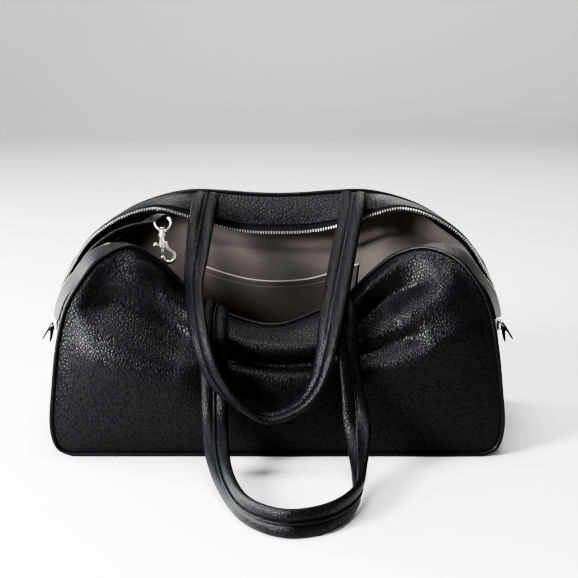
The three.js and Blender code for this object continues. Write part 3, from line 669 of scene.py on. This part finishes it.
def add_piping():
    for face, y in BASE_Y.items():
        arch = seam_point(face, np.linspace(0, WHOLE, PIPING_ARCH_STEPS))
        under_x = np.linspace(arch[-1, 0], arch[0, 0], PIPING_UNDER_STEPS)[1:-1]
        route = evenly(np.concatenate([arch, xyz(under_x, y, SEAM_BASE_Z)]), PIPING_RINGS)
        add_mesh("piping_" + face, "cord", closed_tube(route, PIPING_RADIUS, PIPING_SIDES), SMOOTH)


def side_stations(start):
    """The first and last station of each side, which starts so far from a base corner."""
    return {"left": (start, GUSSET_END), "right": (WHOLE - GUSSET_END, WHOLE - start)}


def add_sides():
    along, across = SIDE_COUNTS
    for side, ends in side_stations(SIDE_START).items():
        add_wall("side_gusset_" + side, side_grid(np.linspace(*ends, along), np.linspace(0, 1, across)))


def add_strips():
    along, across = STRIP_COUNTS
    station = np.linspace(ZIP_END, WHOLE - ZIP_END, along)
    for face in FACES:
        width = length_of(seam_point(face, station) - zip_point(face, station))[:, None]
        far = width - PANEL_TRIM - SEAM_GAP
        reach = TAPE_WIDTH + np.linspace(0, 1, across) * (far - TAPE_WIDTH)
        add_wall("zip_strip_" + face, strip_grid(face, station, reach), MOUTH_INSIDE)


# The handles: two rolls of leather with a piped seam between them outside and a stitched groove inside

# Each row is a place on a handle's route and the way that its width points there
BACK_HANDLE = [
    (-79, 45, 254, 1, 0, -0.03),
    (-82, 12, 238, 1, -0.1, -0.33),
    (-85, -30, 210, 0.72, -0.68, -0.1),
    (-86, -85, 180, 0.42, -0.9, 0),
    (-81, -126, 151, 0.5, -0.86, 0),
    (-73, -149, 124, 0.62, -0.78, 0),
    (-59, -155, 95, 0.66, -0.75, 0),
    (-38, -155, 72, 0.5, -0.87, 0),
    (-8, -153, 58, 0.1, -1, 0),
    (22, -150, 69, 0.2, -0.98, 0),
    (40, -148, 92, 0.42, -0.9, 0),
    (50, -140, 125, 0.64, -0.77, 0),
    (57, -117, 159, 0.82, -0.57, 0),
    (66, -66, 190, 0.91, -0.42, 0),
    (74, -20, 218, 0.97, -0.26, 0.1),
    (81, 13, 239, 1, -0.1, 0.33),
    (84, 44.5, 254.6, 1, 0, 0.03),
]
FRONT_HANDLE = [
    (-64, -80, 157, 0.86, -0.2, -0.5),
    (-65, -104, 150, 0.95, -0.1, -0.3),
    (-65, -126, 128, 1, 0, -0.1),
    (-64, -134, 92, 1, 0, 0.05),
    (-63, -148, 57, 0.95, 0.05, 0.3),
    (-59, -186, 31, 0.72, 0.15, 0.68),
    (-46, -246, 17.5, 0.3, 0.1, 0.95),
    (-25, -304, 14.8, 0.05, 0.05, 1),
    (10, -334, 14.8, 0, 0.08, 1),
    (50, -317, 14.8, -0.05, 0.05, 1),
    (76, -268, 15.5, 0.12, 0, 1),
    (82, -214, 23, 0.42, -0.3, 0.86),
    (82, -176, 45, 0.72, -0.1, 0.5),
    (78, -150, 80, 0.72, 0.5, 0),
    (72, -134, 120, 0.6, 0.62, 0),
    (68, -106, 152, 0.8, 0.3, 0.35),
    (65, -80, 163, 0.86, -0.1, 0.5),
]
ROLL_MIDDLE = 7.3
ROLL_OVER = 143  # the degrees that a roll goes round, from its outer edge to the welt and to the groove
ROLL_UNDER = 146
ROLL_POINTS = 15
WELT_RADIUS = 1.65
WELT_HEIGHT = 2.9
WELT_ARC = (-14, 194)
WELT_POINTS = 13
GROOVE_HEIGHT = -2.1
GROOVE_HALF = 0.9
GROOVE_RISE = 0.15
HANDLE_RINGS = 420
HANDLE_STITCH = (3.1, 0.5)  # length and radius, as for each seam's stitches
STITCH_PITCH = 4.2
STITCH_STAND = 0.1
BARE_RINGS = 4  # at each end of a handle's seam


def handle_section():
    """Counter-clockwise round the section, from the outer edge of one roll: the piped face is up."""
    roll = np.array([HANDLE_WIDTH / 2 - ROLL_MIDDLE, HANDLE_THICKNESS / 2])
    right_top = arc((ROLL_MIDDLE, 0), roll, (0, ROLL_OVER), ROLL_POINTS)
    welt = arc((0, WELT_HEIGHT), WELT_RADIUS, WELT_ARC, WELT_POINTS)
    left_top = right_top[::-1] * (-1, 1)
    left_low = arc((-ROLL_MIDDLE, 0), -roll, (0, ROLL_UNDER), ROLL_POINTS - 1)[1:]
    middle = (0, GROOVE_HEIGHT + GROOVE_RISE)
    groove = np.array([(-GROOVE_HALF, GROOVE_HEIGHT), middle, (GROOVE_HALF, GROOVE_HEIGHT)])
    right_low = left_low[::-1] * (-1, 1)
    return np.concatenate([right_top, welt, left_top, left_low, groove, right_low])


def add_handles():
    for node, rows in (("handle_back", BACK_HANDLE), ("handle_front", FRONT_HANDLE)):
        frames = sweep_frames(rows, HANDLE_RINGS)
        add_mesh(node, "leather", sweep(handle_section(), *frames), STRAP)
        place, wide, thick = frames
        count = int(run_of(place)[-1] / STITCH_PITCH)
        at = np.linspace(BARE_RINGS, HANDLE_RINGS - 1 - BARE_RINGS, count).astype(int)
        seam = place[at] + thick[at] * (GROOVE_HEIGHT - STITCH_STAND)
        sewn = stitches(seam, np.cross(wide[at], thick[at]), -thick[at], *HANDLE_STITCH)
        add_mesh(node, "stitches", sewn, THREAD, extra=True)


# The zip: plain tape with a row of separate teeth along each edge of the mouth

TAPE_COUNTS = (700, 10)
TAPE_START = -0.6  # past the zip's edge, between the teeth
TAPE_DEPTH = 0.6
EDGE_COUNT = 4000
EDGE_STEP = 0.02  # in stations, for directions along the zip's edge
TEETH_PITCH = 2.9
TEETH_MARGIN = 1.5
# A tooth's outline, as a place towards the mouth and a half width, then its layers' depths and sizes
TOOTH = ((-1.8, 0.6), (-1.2, 0.72), (0.9, 0.72), (1.5, 0.5), (1.8, 0.35))
TOOTH_LAYERS = ((-0.3, 0.82), (0.1, 1.0), (1.9, 1.0), (2.3, 0.82))


def add_zip():
    along, across = TAPE_COUNTS
    station = np.linspace(ZIP_END, WHOLE - ZIP_END, along)
    reach = np.linspace(TAPE_START, TAPE_WIDTH - SEAM_GAP, across)
    for face in FACES:
        tape = shell(strip_grid(face, station, reach), TAPE_DEPTH, CLOTH, MOUTH_INSIDE)
        add_mesh("zip_tape_" + face, "weave", tape, TAPE_LOOK)
        add_teeth(face)


def zip_line(face, station, reach=0.0):
    """The line on a strip that stays at one distance from the zip's edge."""
    return strip_grid(face, station, reach)[:, 0]


def add_teeth(face):
    dense = np.linspace(ZIP_END, WHOLE - ZIP_END, EDGE_COUNT)
    run = run_of(zip_line(face, dense))
    station = np.interp(np.arange(TEETH_MARGIN, run[-1] - TEETH_MARGIN, TEETH_PITCH), run, dense)
    middle = zip_line(face, station)
    back = unit(zip_line(face, station, TAPE_WIDTH / 2) - middle)
    along = square_to(back, zip_line(face, station + EDGE_STEP) - middle)
    down = np.cross(along, back)
    down *= np.where(dot(down, np.array(MOUTH_INSIDE) - middle) > 0, 1, -1)
    outline = [(x, h) for x, h in TOOTH] + [(x, -h) for x, h in TOOTH[::-1]]
    shape = np.array([(-x * size, h * size, depth) for depth, size in TOOTH_LAYERS for x, h in outline])
    teeth = copies(shape, len(TOOTH_LAYERS), middle, np.stack([back, along, down], 1))
    row = add_mesh("zip_teeth_" + face, "row", teeth, NICKEL)
    row.data.shade_flat()


# The cloth lining and the slip pocket sewn to its back

CLOTH_DEPTH = LEATHER + CLOTH_GAP
CLOTH_SHARE = 0.62
CLOTH_SINK = 7.0
CLOTH_ENDS = 1.55
SIDE_CLOTH_START = 0.7
# The folds of the back lining above the pocket, as the panel's are given
CLOTH_FOLDS = [
    ([(78, 199), (114, 212), (152, 226)], 7, 6),
    ([(128, 219), (148, 206), (172, 188)], 5, 4.5),
    ([(-150, 214), (-70, 206), (-5, 197), (60, 196), (120, 206)], 9, 4),
]
# The waves of hanging cloth: lengths along X and Z, start, sway with Z, and share of the height
CLOTH_WAVES = [
    (19, 41, 0, 0, 1),
    (33, -17, 1.3, 0, 1),
    (11, 60, 0, 0.7, 0.8),
]
SWAY_LENGTH = 23
WAVE_SHARE = 0.22
FRONT_WAVES = 2.0  # the waves' heights, and what the back gains where no pocket holds it
BACK_WAVES = 1.6
LOOSE_WAVES = 4.0
SIDE_WAVES = 1.4
LOOSE_STATIONS = 1.5
LINING_COUNTS = (240, 80)
LINING_RISE = (0.06, 0.985)
SIDE_LINING_COUNTS = (60, 60)
SIDE_LINING_ACROSS = (0.06, 0.94)
POCKET_STATIONS = 3.1
POCKET_LOW = 0.24
POCKET_HIGH = 0.65
POCKET_SAG = 0.055
POCKET_OPEN = 15.0
POCKET_GAP = 1.0
POCKET_COUNTS = (140, 60)
POCKET_STEPS = 240
HEM_RADIUS = 0.95
HEM_RINGS, HEM_SIDES = 220, 10
POCKET_STITCH = (1.9, 0.28)
POCKET_SEAM_ROW = -6  # the row of the pocket's grid that is sewn, with a stitch at every second column
POCKET_SEAM_COLUMNS = slice(2, -2, 2)


def cloth_waves(x, z, height):
    """Loose waves of hanging cloth, from nothing up to a height."""
    wave = 0
    for along, up, start, sway, share in CLOTH_WAVES:
        wave += share * np.sin(x / along + z / up + start + sway * np.sin(z / SWAY_LENGTH))
    return height * np.clip(0.5 + WAVE_SHARE * wave, 0, 1)


def pushed_in(grid, height, folds=()):
    """A cloth grid with waves and folds standing out from it into the bag."""
    inward, _ = inward_normals(grid, INSIDE)
    x, y, z = np.moveaxis(grid, -1, 0)
    out = cloth_waves(x + y, z, height) + fold_height(x, z, folds)
    return grid + inward * out[..., None]


def add_cloth(node, grid):
    """A cloth wall that stands for a CAD node."""
    piece = add_mesh(node, "cloth", shell(grid, CLOTH_DEPTH, CLOTH, INSIDE), CLOTH_LOOK)


def add_lining():
    along, up = LINING_COUNTS
    station = np.linspace(CLOTH_ENDS, WHOLE - CLOTH_ENDS, along)
    rise = np.linspace(*LINING_RISE, up)
    past_pocket = np.abs(station - MIDDLE) - POCKET_STATIONS
    loose = BACK_WAVES + LOOSE_WAVES * smooth_step(0, LOOSE_STATIONS, past_pocket)[:, None]
    for face, height, folds in (("front", FRONT_WAVES, ()), ("back", loose, CLOTH_FOLDS)):
        grid = pushed_in(panel_grid(face, station, rise, CLOTH_SHARE, CLOTH_SINK), height, folds)
        add_cloth("lining_" + face, grid)
    up, across = SIDE_LINING_COUNTS
    for side, ends in side_stations(SIDE_CLOTH_START).items():
        plain = side_grid(np.linspace(*ends, up), np.linspace(*SIDE_LINING_ACROSS, across))
        grid = pushed_in(plain, SIDE_WAVES)
        add_cloth("lining_" + side, grid)


def add_base_lining():
    dress("lining_base", CLOTH_LOOK)


def pocket_grid(station, share):
    """The pocket's points, its top edge sagging and standing off the lining in the middle."""
    rise = np.linspace(0, 1, POCKET_STEPS)
    back = panel_grid("back", station, rise)
    sag = 1 - ((station - MIDDLE) / POCKET_STATIONS) ** 2
    height = POCKET_HIGH - POCKET_LOW - POCKET_SAG * sag
    grid = np.array([along_line(POCKET_LOW + share * h, rise, line) for h, line in zip(height, back)])
    grid[..., 1] -= POCKET_OPEN * share**2 * sag[:, None]
    return grid


def add_pocket():
    along, up = POCKET_COUNTS
    station = np.linspace(MIDDLE - POCKET_STATIONS, MIDDLE + POCKET_STATIONS, along)
    grid = pocket_grid(station, np.linspace(0, 1, up))
    vertices, faces = shell(grid, CLOTH_DEPTH + CLOTH + POCKET_GAP, CLOTH, INSIDE)
    node = "slip_pocket"
    pocket = add_mesh(node, "cloth", (vertices, faces), CLOTH_LOOK)
    outer, inner = vertices.reshape(2, along, up, 3)
    edge = (outer[:, -1] + inner[:, -1]) / 2
    roll = sweep(circle(HEM_RADIUS, HEM_SIDES), *sweep_frames(upright(edge), HEM_RINGS))
    # The hem's pale colour is a painted highlight on its fold
    hem = add_mesh(node, "hem", roll, HEM_HIGHLIGHT_LOOK, extra=True)
    line = inner[POCKET_SEAM_COLUMNS, POCKET_SEAM_ROW]
    direction = unit(np.gradient(line, axis=0))
    out = square_to(direction, unit(line - outer[POCKET_SEAM_COLUMNS, POCKET_SEAM_ROW]))
    sewn = stitches(line, direction, out, *POCKET_STITCH)
    seam = add_mesh(node, "stitches", sewn, HEM_HIGHLIGHT_LOOK, extra=True)


# The zip sliders with their folded leather pulls

SLIDER_X, SLIDER_Y, SLIDER_Z = 243.9, -0.5, 117.0
SLIDER_WIDTH, SLIDER_HEIGHT, SLIDER_DEPTH = 9.0, 12.0, 4.0
SLIDER_OUTLINE = ((-0.5, -0.3), (-0.3, -0.5), (0.3, -0.5), (0.5, -0.3), (0.5, 0.5), (-0.5, 0.5))
SLIDER_LAYERS = ((-0.5, 0.86), (-0.4, 0.97), (0.0, 1.0), (0.4, 0.97), (0.5, 0.86))
PULL_WIDTH = 12.0
# Clockwise round the folded pull, as distances out and up
PULL_PROFILE = [
    (0.4, -3.5), (0.3, -0.5), (1.0, 1.4), (2.4, 2.1), (3.9, 1.0), (13.7, -15.0), (12.2, -16.0), (3.7, -3.0),
    (5.4, -18.4), (3.6, -18.7),
]
PULL_LAYERS = ((-0.5, 0.35), (-0.46, 0.0), (0.46, 0.0), (0.5, 0.35))
PULL_FRONT = slice(4, 6)  # the profile's points at the ends of its sewn front
PULL_STITCH = (1.6, 0.3)
PULL_STITCHES = 7
PULL_STITCH_RUN = (0.15, 0.9)
PULL_STITCH_SIDES = (-4.3, 4.3)
RING_HALF = [(-0.6, -3.2), (0.8, -4.6), (1.8, -6.6), (2.0, -6.8)]
RING_LINE = RING_HALF + [(2.0, 0)] + [(out, -y) for out, y in RING_HALF[::-1]]
RING_RADIUS = 0.7
RING_RINGS, RING_SIDES = 60, 12
RING_UP = 0.2
CORNER_CUT = 0.2
CORNER_CUTS = 2


def rounded(points):
    """A closed outline with its corners cut, more than once."""
    points = np.array(points, float)
    for _ in range(CORNER_CUTS):
        after = np.roll(points, -1, axis=0)
        first = (1 - CORNER_CUT) * points + CORNER_CUT * after
        second = CORNER_CUT * points + (1 - CORNER_CUT) * after
        points = np.stack([first, second], 1).reshape(-1, 2)
    return points


def stacked(layers):
    """Rings of as many points each joined into a solid."""
    return np.concatenate(layers), tube_solid(len(layers), len(layers[0]))


SLIDER_FACE = SLIDER_X + SLIDER_DEPTH / 2


def on_slider(sign, out, across, up):
    """Places given from the middle of a slider's outer face, on the left or the right."""
    return xyz(sign * (SLIDER_FACE + out), SLIDER_Y + across, SLIDER_Z + up)


def add_slider(side, sign):
    across, up = (rounded(SLIDER_OUTLINE) * (SLIDER_WIDTH, SLIDER_HEIGHT)).T
    layers = [
        on_slider(sign, SLIDER_DEPTH * (at - 0.5), across * scale, up * scale) for at, scale in SLIDER_LAYERS
    ]
    out, across = np.array(RING_LINE).T
    route = upright(on_slider(sign, out, across, RING_UP))
    ring = sweep(circle(RING_RADIUS, RING_SIDES), *sweep_frames(route, RING_RINGS))
    add_mesh("slider_" + side, "metal", merge(stacked(layers), ring), NICKEL)


def add_pull(side, sign):
    fold = rounded(PULL_PROFILE)
    edge = unit(np.roll(fold, -1, axis=0) - np.roll(fold, 1, axis=0))
    inwards = edge[:, ::-1] * (1, -1)
    layers = []
    for at, inset in PULL_LAYERS:
        out, up = (fold + inwards * inset).T
        layers.append(on_slider(sign, out, at * PULL_WIDTH, up))
    node = "pull_" + side
    add_mesh(node, "leather", stacked(layers), SMOOTH)
    start, end = np.array(PULL_PROFILE[PULL_FRONT], float)
    run = np.tile(np.linspace(*PULL_STITCH_RUN, PULL_STITCHES), len(PULL_STITCH_SIDES))
    line = start + run[:, None] * (end - start)
    place = on_slider(sign, line[:, 0], np.repeat(PULL_STITCH_SIDES, PULL_STITCHES), line[:, 1])
    slope = unit(end - start)
    along = np.broadcast_to([sign * slope[0], 0, slope[1]], place.shape)
    out = np.broadcast_to([-sign * slope[1], 0, slope[0]], place.shape)
    add_mesh(node, "stitches", stitches(place, along, out, *PULL_STITCH), THREAD, extra=True)


def add_sliders():
    for side, sign in (("left", -1), ("right", 1)):
        add_slider(side, sign)
        add_pull(side, sign)


# The key strap and its swivel hook

# Drawn round the middle of the eye's bar and set in place. Lines are in X and Z, profiles radius and height
EYE_PLACE = np.array([-125.0, 2.0, 236.2])
EYE_TURN = math.radians(-34)
WIRE_RADIUS = 1.5
RUNNING_GAP = 0.4
LOOP_STEPS = 12  # fine steps between two points of a closed curve
LOOP_LENGTH = 11.0
LOOP_WALL = 2.2
LOOP_LAP = 0.3
STRAP_WIDTH = 12.0
STRAP_RINGS = 160
STRAP_STITCH = (2.0, 0.26)
STRAP_STITCH_SIDES = {"front": 4.6, "back": -4.6}
STRAP_STITCH_RINGS = slice(6, -14, 3)
# How far behind the bar the strap's last points are. The first has its own height, the others the loop's
LANDING = (19.0, 8.0, 0.0)
LANDING_UP = 0.5
HOOK_WIRE = 2.4
BARREL_RADIUS = 3.7
BARREL_TOP = -20.3
BARREL_BOTTOM = -33.4
BARREL_BEVEL = 0.4
BORE_TOP = -21.0
BOLT_RADIUS = 2.0
BOLT_TRAVEL = 5.0
KNOB_Z = -30.0
STEM_RADIUS = 1.2
EYE_RINGS, EYE_SIDES = 140, 16
HOOK_RINGS, HOOK_SIDES = 110, 18
TIP_RINGS = 8  # over which the hook's wire is rounded off
TIP_LEAST = 0.02
LATHE_SIDES = 40
BOLT_SIDES = 28
SLOT_SIDES = 8
SLOT_LEAST = 1.02  # keeps the slot's edges apart where a ring is narrower than the slot
KEY_STRAP = [
    (-231, 20, 140, 0, -1, 0),
    (-227, 16, 160, 0, -1, 0.1),
    (-215, 8, 182, -0.2, -0.85, 0.35),
    (-197, -2, 202, -0.4, -0.6, 0.65),
    (-177, -8, 218, -0.45, -0.5, 0.7),
    (-158, -14, 229, -0.2, -0.8, 0.4),
]
EYE_LINE = [(-8, 0), (-3, 0), (3, 0), (8, 0), (10.6, -1.6), (11.4, -4.5), (10, -9), (6, -13), (0, -14.5)]
HOOK_LINE = [
    (3.5, -26), (3.9, -30), (5, -33.8), (8.6, -36.6), (11.8, -40.4), (12.6, -44.4), (10.2, -48), (6, -49.4),
    (2, -48), (0.1, -44.8), (0, -41.7),
]
BOSS_PROFILE = [
    (1.9, -12.6), (3.9, -12.6), (4.4, -13.0), (4.4, -14.1), (4.0, -14.4), (4.0, -14.9), (4.4, -15.2),
    (4.4, -16.6), (4.0, -17.0), (1.9, -17.0), (1.9, -12.6),
]
COLLAR_PROFILE = [
    (0, -9.8), (2.2, -9.8), (2.8, -10.2), (2.9, -11), (2.7, -12.0), (1.5, -12.2), (1.5, -17.4), (4.8, -17.4),
    (5.4, -17.8), (5.4, -18.4), (4.9, -18.8), (5.4, -19.2), (5.4, -19.8), (4.9, -20.2), (3.7, -20.4),
    (0, -20.4),
]
ROD_PROFILE = [(0, -28), (1.7, -28), (2.0, -28.3), (2.0, -40.4), (1.8, -40.8), (1.4, -41.0), (0, -41.0)]
KNOB_PROFILE = [
    (1.2, 0), (1.2, 5.6), (1.9, 5.9), (2.4, 6.8), (2.5, 7.9), (2.4, 8.9), (1.9, 9.8), (1.1, 10.3), (0, 10.4),
]


def hook_place(points, turn):
    """Points drawn round the bar, turned about Z and set in place."""
    x, y, z = np.asarray(points, float).T
    c, s = math.cos(turn), math.sin(turn)
    return xyz(c * x - s * y, s * x + c * y, z) + EYE_PLACE


def closed_curve(points, count):
    """A smooth closed line through points of a plane, in X and Z."""
    x, z = np.array(points[-2:] + points + points[:3], float).T
    at = np.linspace(2, len(points) + 2, LOOP_STEPS * len(points), endpoint=False)
    return evenly(smooth_places((x, 0 * x, z), at), count)


def slotted_barrel():
    """The hook's barrel: a tube open below, with a slot on the -X side that the bolt's knob runs in."""
    half = STEM_RADIUS + RUNNING_GAP
    slot_top, slot_low = KNOB_Z + BOLT_TRAVEL + half, KNOB_Z - half
    bore = BOLT_RADIUS + RUNNING_GAP
    slot_z = [slot_top, (slot_top + slot_low) / 2, slot_low]
    outside = [(BARREL_RADIUS, z) for z in [BARREL_TOP] + slot_z + [BARREL_BOTTOM + BARREL_BEVEL]]
    outside.append((BARREL_RADIUS - BARREL_BEVEL, BARREL_BOTTOM))
    within = [(bore, z) for z in [BARREL_BOTTOM] + slot_z[::-1] + [BORE_TOP]] + [(0, BORE_TOP)]
    rows = outside + within
    across, sides = SLOT_SIDES, SLOT_SIDES + LATHE_SIDES
    vertices = []
    for radius, z in rows:
        edge = math.asin(half / max(radius, half * SLOT_LEAST))
        angle = np.append(
            np.linspace(math.pi - edge, math.pi + edge, across, endpoint=False),
            np.linspace(math.pi + edge, 3 * math.pi - edge, LATHE_SIDES, endpoint=False),
        )
        vertices += [(radius * math.cos(a), radius * math.sin(a), z) for a in angle]
    first_in = len(outside) + 1
    open_rows = {1, 2, first_in, first_in + 1}
    faces = []
    for r, ring in enumerate(tube_faces(len(rows), sides, False).reshape(-1, sides, 4)):
        faces += list(ring[across:] if r in open_rows else ring)
    pairs = [(1, first_in + 2), (2, first_in + 1), (3, first_in)]
    for (o1, i1), (o2, i2) in zip(pairs, pairs[1:]):
        faces.append((o1 * sides, o2 * sides, i2 * sides, i1 * sides))
        faces.append((i1 * sides + across, i2 * sides + across, o2 * sides + across, o1 * sides + across))
    for k in range(across):
        for (o, i), turn in ((pairs[0], 1), (pairs[2], -1)):
            faces.append((o * sides + k, o * sides + k + 1, i * sides + k + 1, i * sides + k)[::turn])
    return np.array(vertices), faces


def add_metal(node, solid, body, turn):
    """A metal piece of the hook, drawn round the bar and riding on a body."""
    vertices, faces = solid
    add_mesh(node, "metal", (hook_place(vertices, turn), faces), NICKEL, body)


def add_hook():
    line = EYE_LINE + [(-x, z) for x, z in EYE_LINE[-2:3:-1]]
    wire = closed_tube(closed_curve(line, EYE_RINGS), WIRE_RADIUS, EYE_SIDES)
    add_metal("hook_eye", merge(wire, lathe(BOSS_PROFILE, LATHE_SIDES)), EYE, EYE_TURN)

    rows = [(x, 0, z, 0, 1, 0) for x, z in HOOK_LINE]
    place, wide, thick = sweep_frames(rows, HOOK_RINGS)
    tip = np.sqrt(np.clip(1 - np.linspace(0, 1, TIP_RINGS) ** 2, TIP_LEAST, 1))
    size = np.concatenate([np.ones(HOOK_RINGS - TIP_RINGS), tip])[:, None]
    bend = sweep(circle(HOOK_WIRE, HOOK_SIDES), place, wide * size, thick * size)
    add_metal("hook_body", merge(lathe(COLLAR_PROFILE, LATHE_SIDES), slotted_barrel(), bend), HOOK, 0)

    knob, knob_faces = lathe(KNOB_PROFILE, BOLT_SIDES)
    knob = xyz(-knob[:, 2], knob[:, 1], knob[:, 0] + KNOB_Z)
    add_metal("hook_bolt", merge(lathe(ROD_PROFILE, BOLT_SIDES), (knob, knob_faces)), BOLT, 0)


def strap_route(loop_top):
    """The key strap's route, ending on top of its loop, square to the eye's bar."""
    bar = (math.cos(EYE_TURN), math.sin(EYE_TURN), 0)
    along = np.array([-math.sin(EYE_TURN), math.cos(EYE_TURN)])
    heights = (LANDING_UP, loop_top, loop_top)
    landing = [
        (*(EYE_PLACE[:2] - back * along), EYE_PLACE[2] + up, *bar) for back, up in zip(LANDING, heights)
    ]
    return KEY_STRAP + landing


def strap_loop():
    """The ring of leather round the eye's bar."""
    inner = WIRE_RADIUS + RUNNING_GAP
    outer, half = inner + LOOP_WALL, LOOP_LENGTH / 2
    profile = [(inner, -half), (outer, -half), (outer, half), (inner, half), (inner, -half)]
    loop, faces = lathe(profile, LATHE_SIDES)
    return hook_place(xyz(loop[:, 2], loop[:, 1], -loop[:, 0]), EYE_TURN), faces


def add_key_strap():
    half = LOOP_WALL / 2
    corners = [(side * STRAP_WIDTH / 2, up * half) for side, up in ((-1, -1), (1, -1), (1, 1), (-1, 1))]
    route = strap_route(WIRE_RADIUS + RUNNING_GAP + half + LOOP_LAP)
    frames = sweep_frames(route, STRAP_RINGS)
    node = "key_strap"
    add_mesh(node, "leather", merge(sweep(rounded(corners), *frames), strap_loop()), SMOOTH)
    place, wide, thick = (rows[STRAP_STITCH_RINGS] for rows in frames)
    for name, shift in STRAP_STITCH_SIDES.items():
        for face, sign in (("upper", 1), ("lower", -1)):
            middle = place + wide * shift + thick * sign * half
            sewn = stitches(middle, np.cross(wide, thick), thick * sign, *STRAP_STITCH)
            add_mesh(node, f"stitches_{name}_{face}", sewn, THREAD, extra=True)


add_panels()
add_piping()
add_sides()
add_strips()
dress("base_panel", PEBBLED)
add_handles()
add_zip()
add_lining()
add_base_lining()
add_pocket()
add_sliders()
add_key_strap()
add_hook()


# The floor, the lights and the camera, in metres

FLOOR_HALF = 5.0
FLOOR_BACK = 2.4
SWEEP_RADIUS = 1.2
SWEEP_STEPS = 25
WALL_TOP = 4.0
FLOOR_COLOUR = (0.64, 0.64, 0.64)
WORLD_LIGHT = 0.16
# Each light's name, place, target, width and height, and power in watts
LIGHTS = [
    ("window", (-1.4, -1.3, 0.9), (0, 0, 0.12), (0.7, 0.75), 165),
    ("rim", (-1.6, 0.7, 0.55), (0, 0, 0.15), (0.9, 0.8), 60),
    ("behind", (0.3, 1.8, 1.3), (0, 0, 0.15), (1.2, 0.9), 14),
    ("fill", (1.8, -0.2, 0.9), (0, 0, 0.15), (0.9, 0.9), 6),
    ("overhead", (-0.1, -0.1, 1.8), (0, 0, 0.12), (1.2, 0.5), 42),
    ("front", (-0.1, -1.3, 2.2), (0, 0.05, 0.15), (0.9, 0.5), 4),
]
CAMERA_PLACE = (0.0125, -1.70293, 0.55021)
CAMERA_PITCH = 13.0  # degrees down from level
FIELD_OF_VIEW = 20.54


def add_stage():
    """A pale floor that sweeps up into a wall far behind the bag."""
    curve = arc((FLOOR_BACK, SWEEP_RADIUS), SWEEP_RADIUS, (-90, 0), SWEEP_STEPS)
    profile = [(-FLOOR_HALF, 0.0), *curve, (FLOOR_BACK + SWEEP_RADIUS, WALL_TOP)]
    vertices = [(x, y, z) for y, z in profile for x in (-FLOOR_HALF, FLOOR_HALF)]
    faces = [(2 * i, 2 * i + 1, 2 * i + 3, 2 * i + 2) for i in range(len(profile) - 1)]
    mesh = bpy.data.meshes.new("floor")
    mesh.from_pydata(vertices, [], faces)
    mesh.shade_smooth()
    floor = add_object("floor", mesh)
    mesh.materials.append(new_material("floor", FLOOR_COLOUR, 0.7, specular=0.2))


def add_lights():
    for name, place, target, size, power in LIGHTS:
        light = bpy.data.lights.new(name, "AREA")
        light.shape = "RECTANGLE"
        light.size, light.size_y = size
        light.energy = power
        lamp = add_object(name, light)
        lamp.location = place
        lamp.rotation_euler = (Vector(target) - Vector(place)).to_track_quat("-Z", "Y").to_euler()
    world = bpy.data.worlds.new("studio")
    world.use_nodes = True
    set_inputs(world.node_tree.nodes["Background"], {"Color": (1, 1, 1, 1), "Strength": WORLD_LIGHT})
    bpy.context.scene.world = world
    bpy.context.scene.view_settings.look = "AgX - Very High Contrast"


def add_camera():
    data = bpy.data.cameras.new("camera")
    data.angle = math.radians(FIELD_OF_VIEW)
    camera = add_object("camera", data)
    camera.location = CAMERA_PLACE
    camera.rotation_euler = (math.radians(90 - CAMERA_PITCH), 0, 0)
    bpy.context.scene.camera = camera


add_stage()
add_lights()
add_camera()
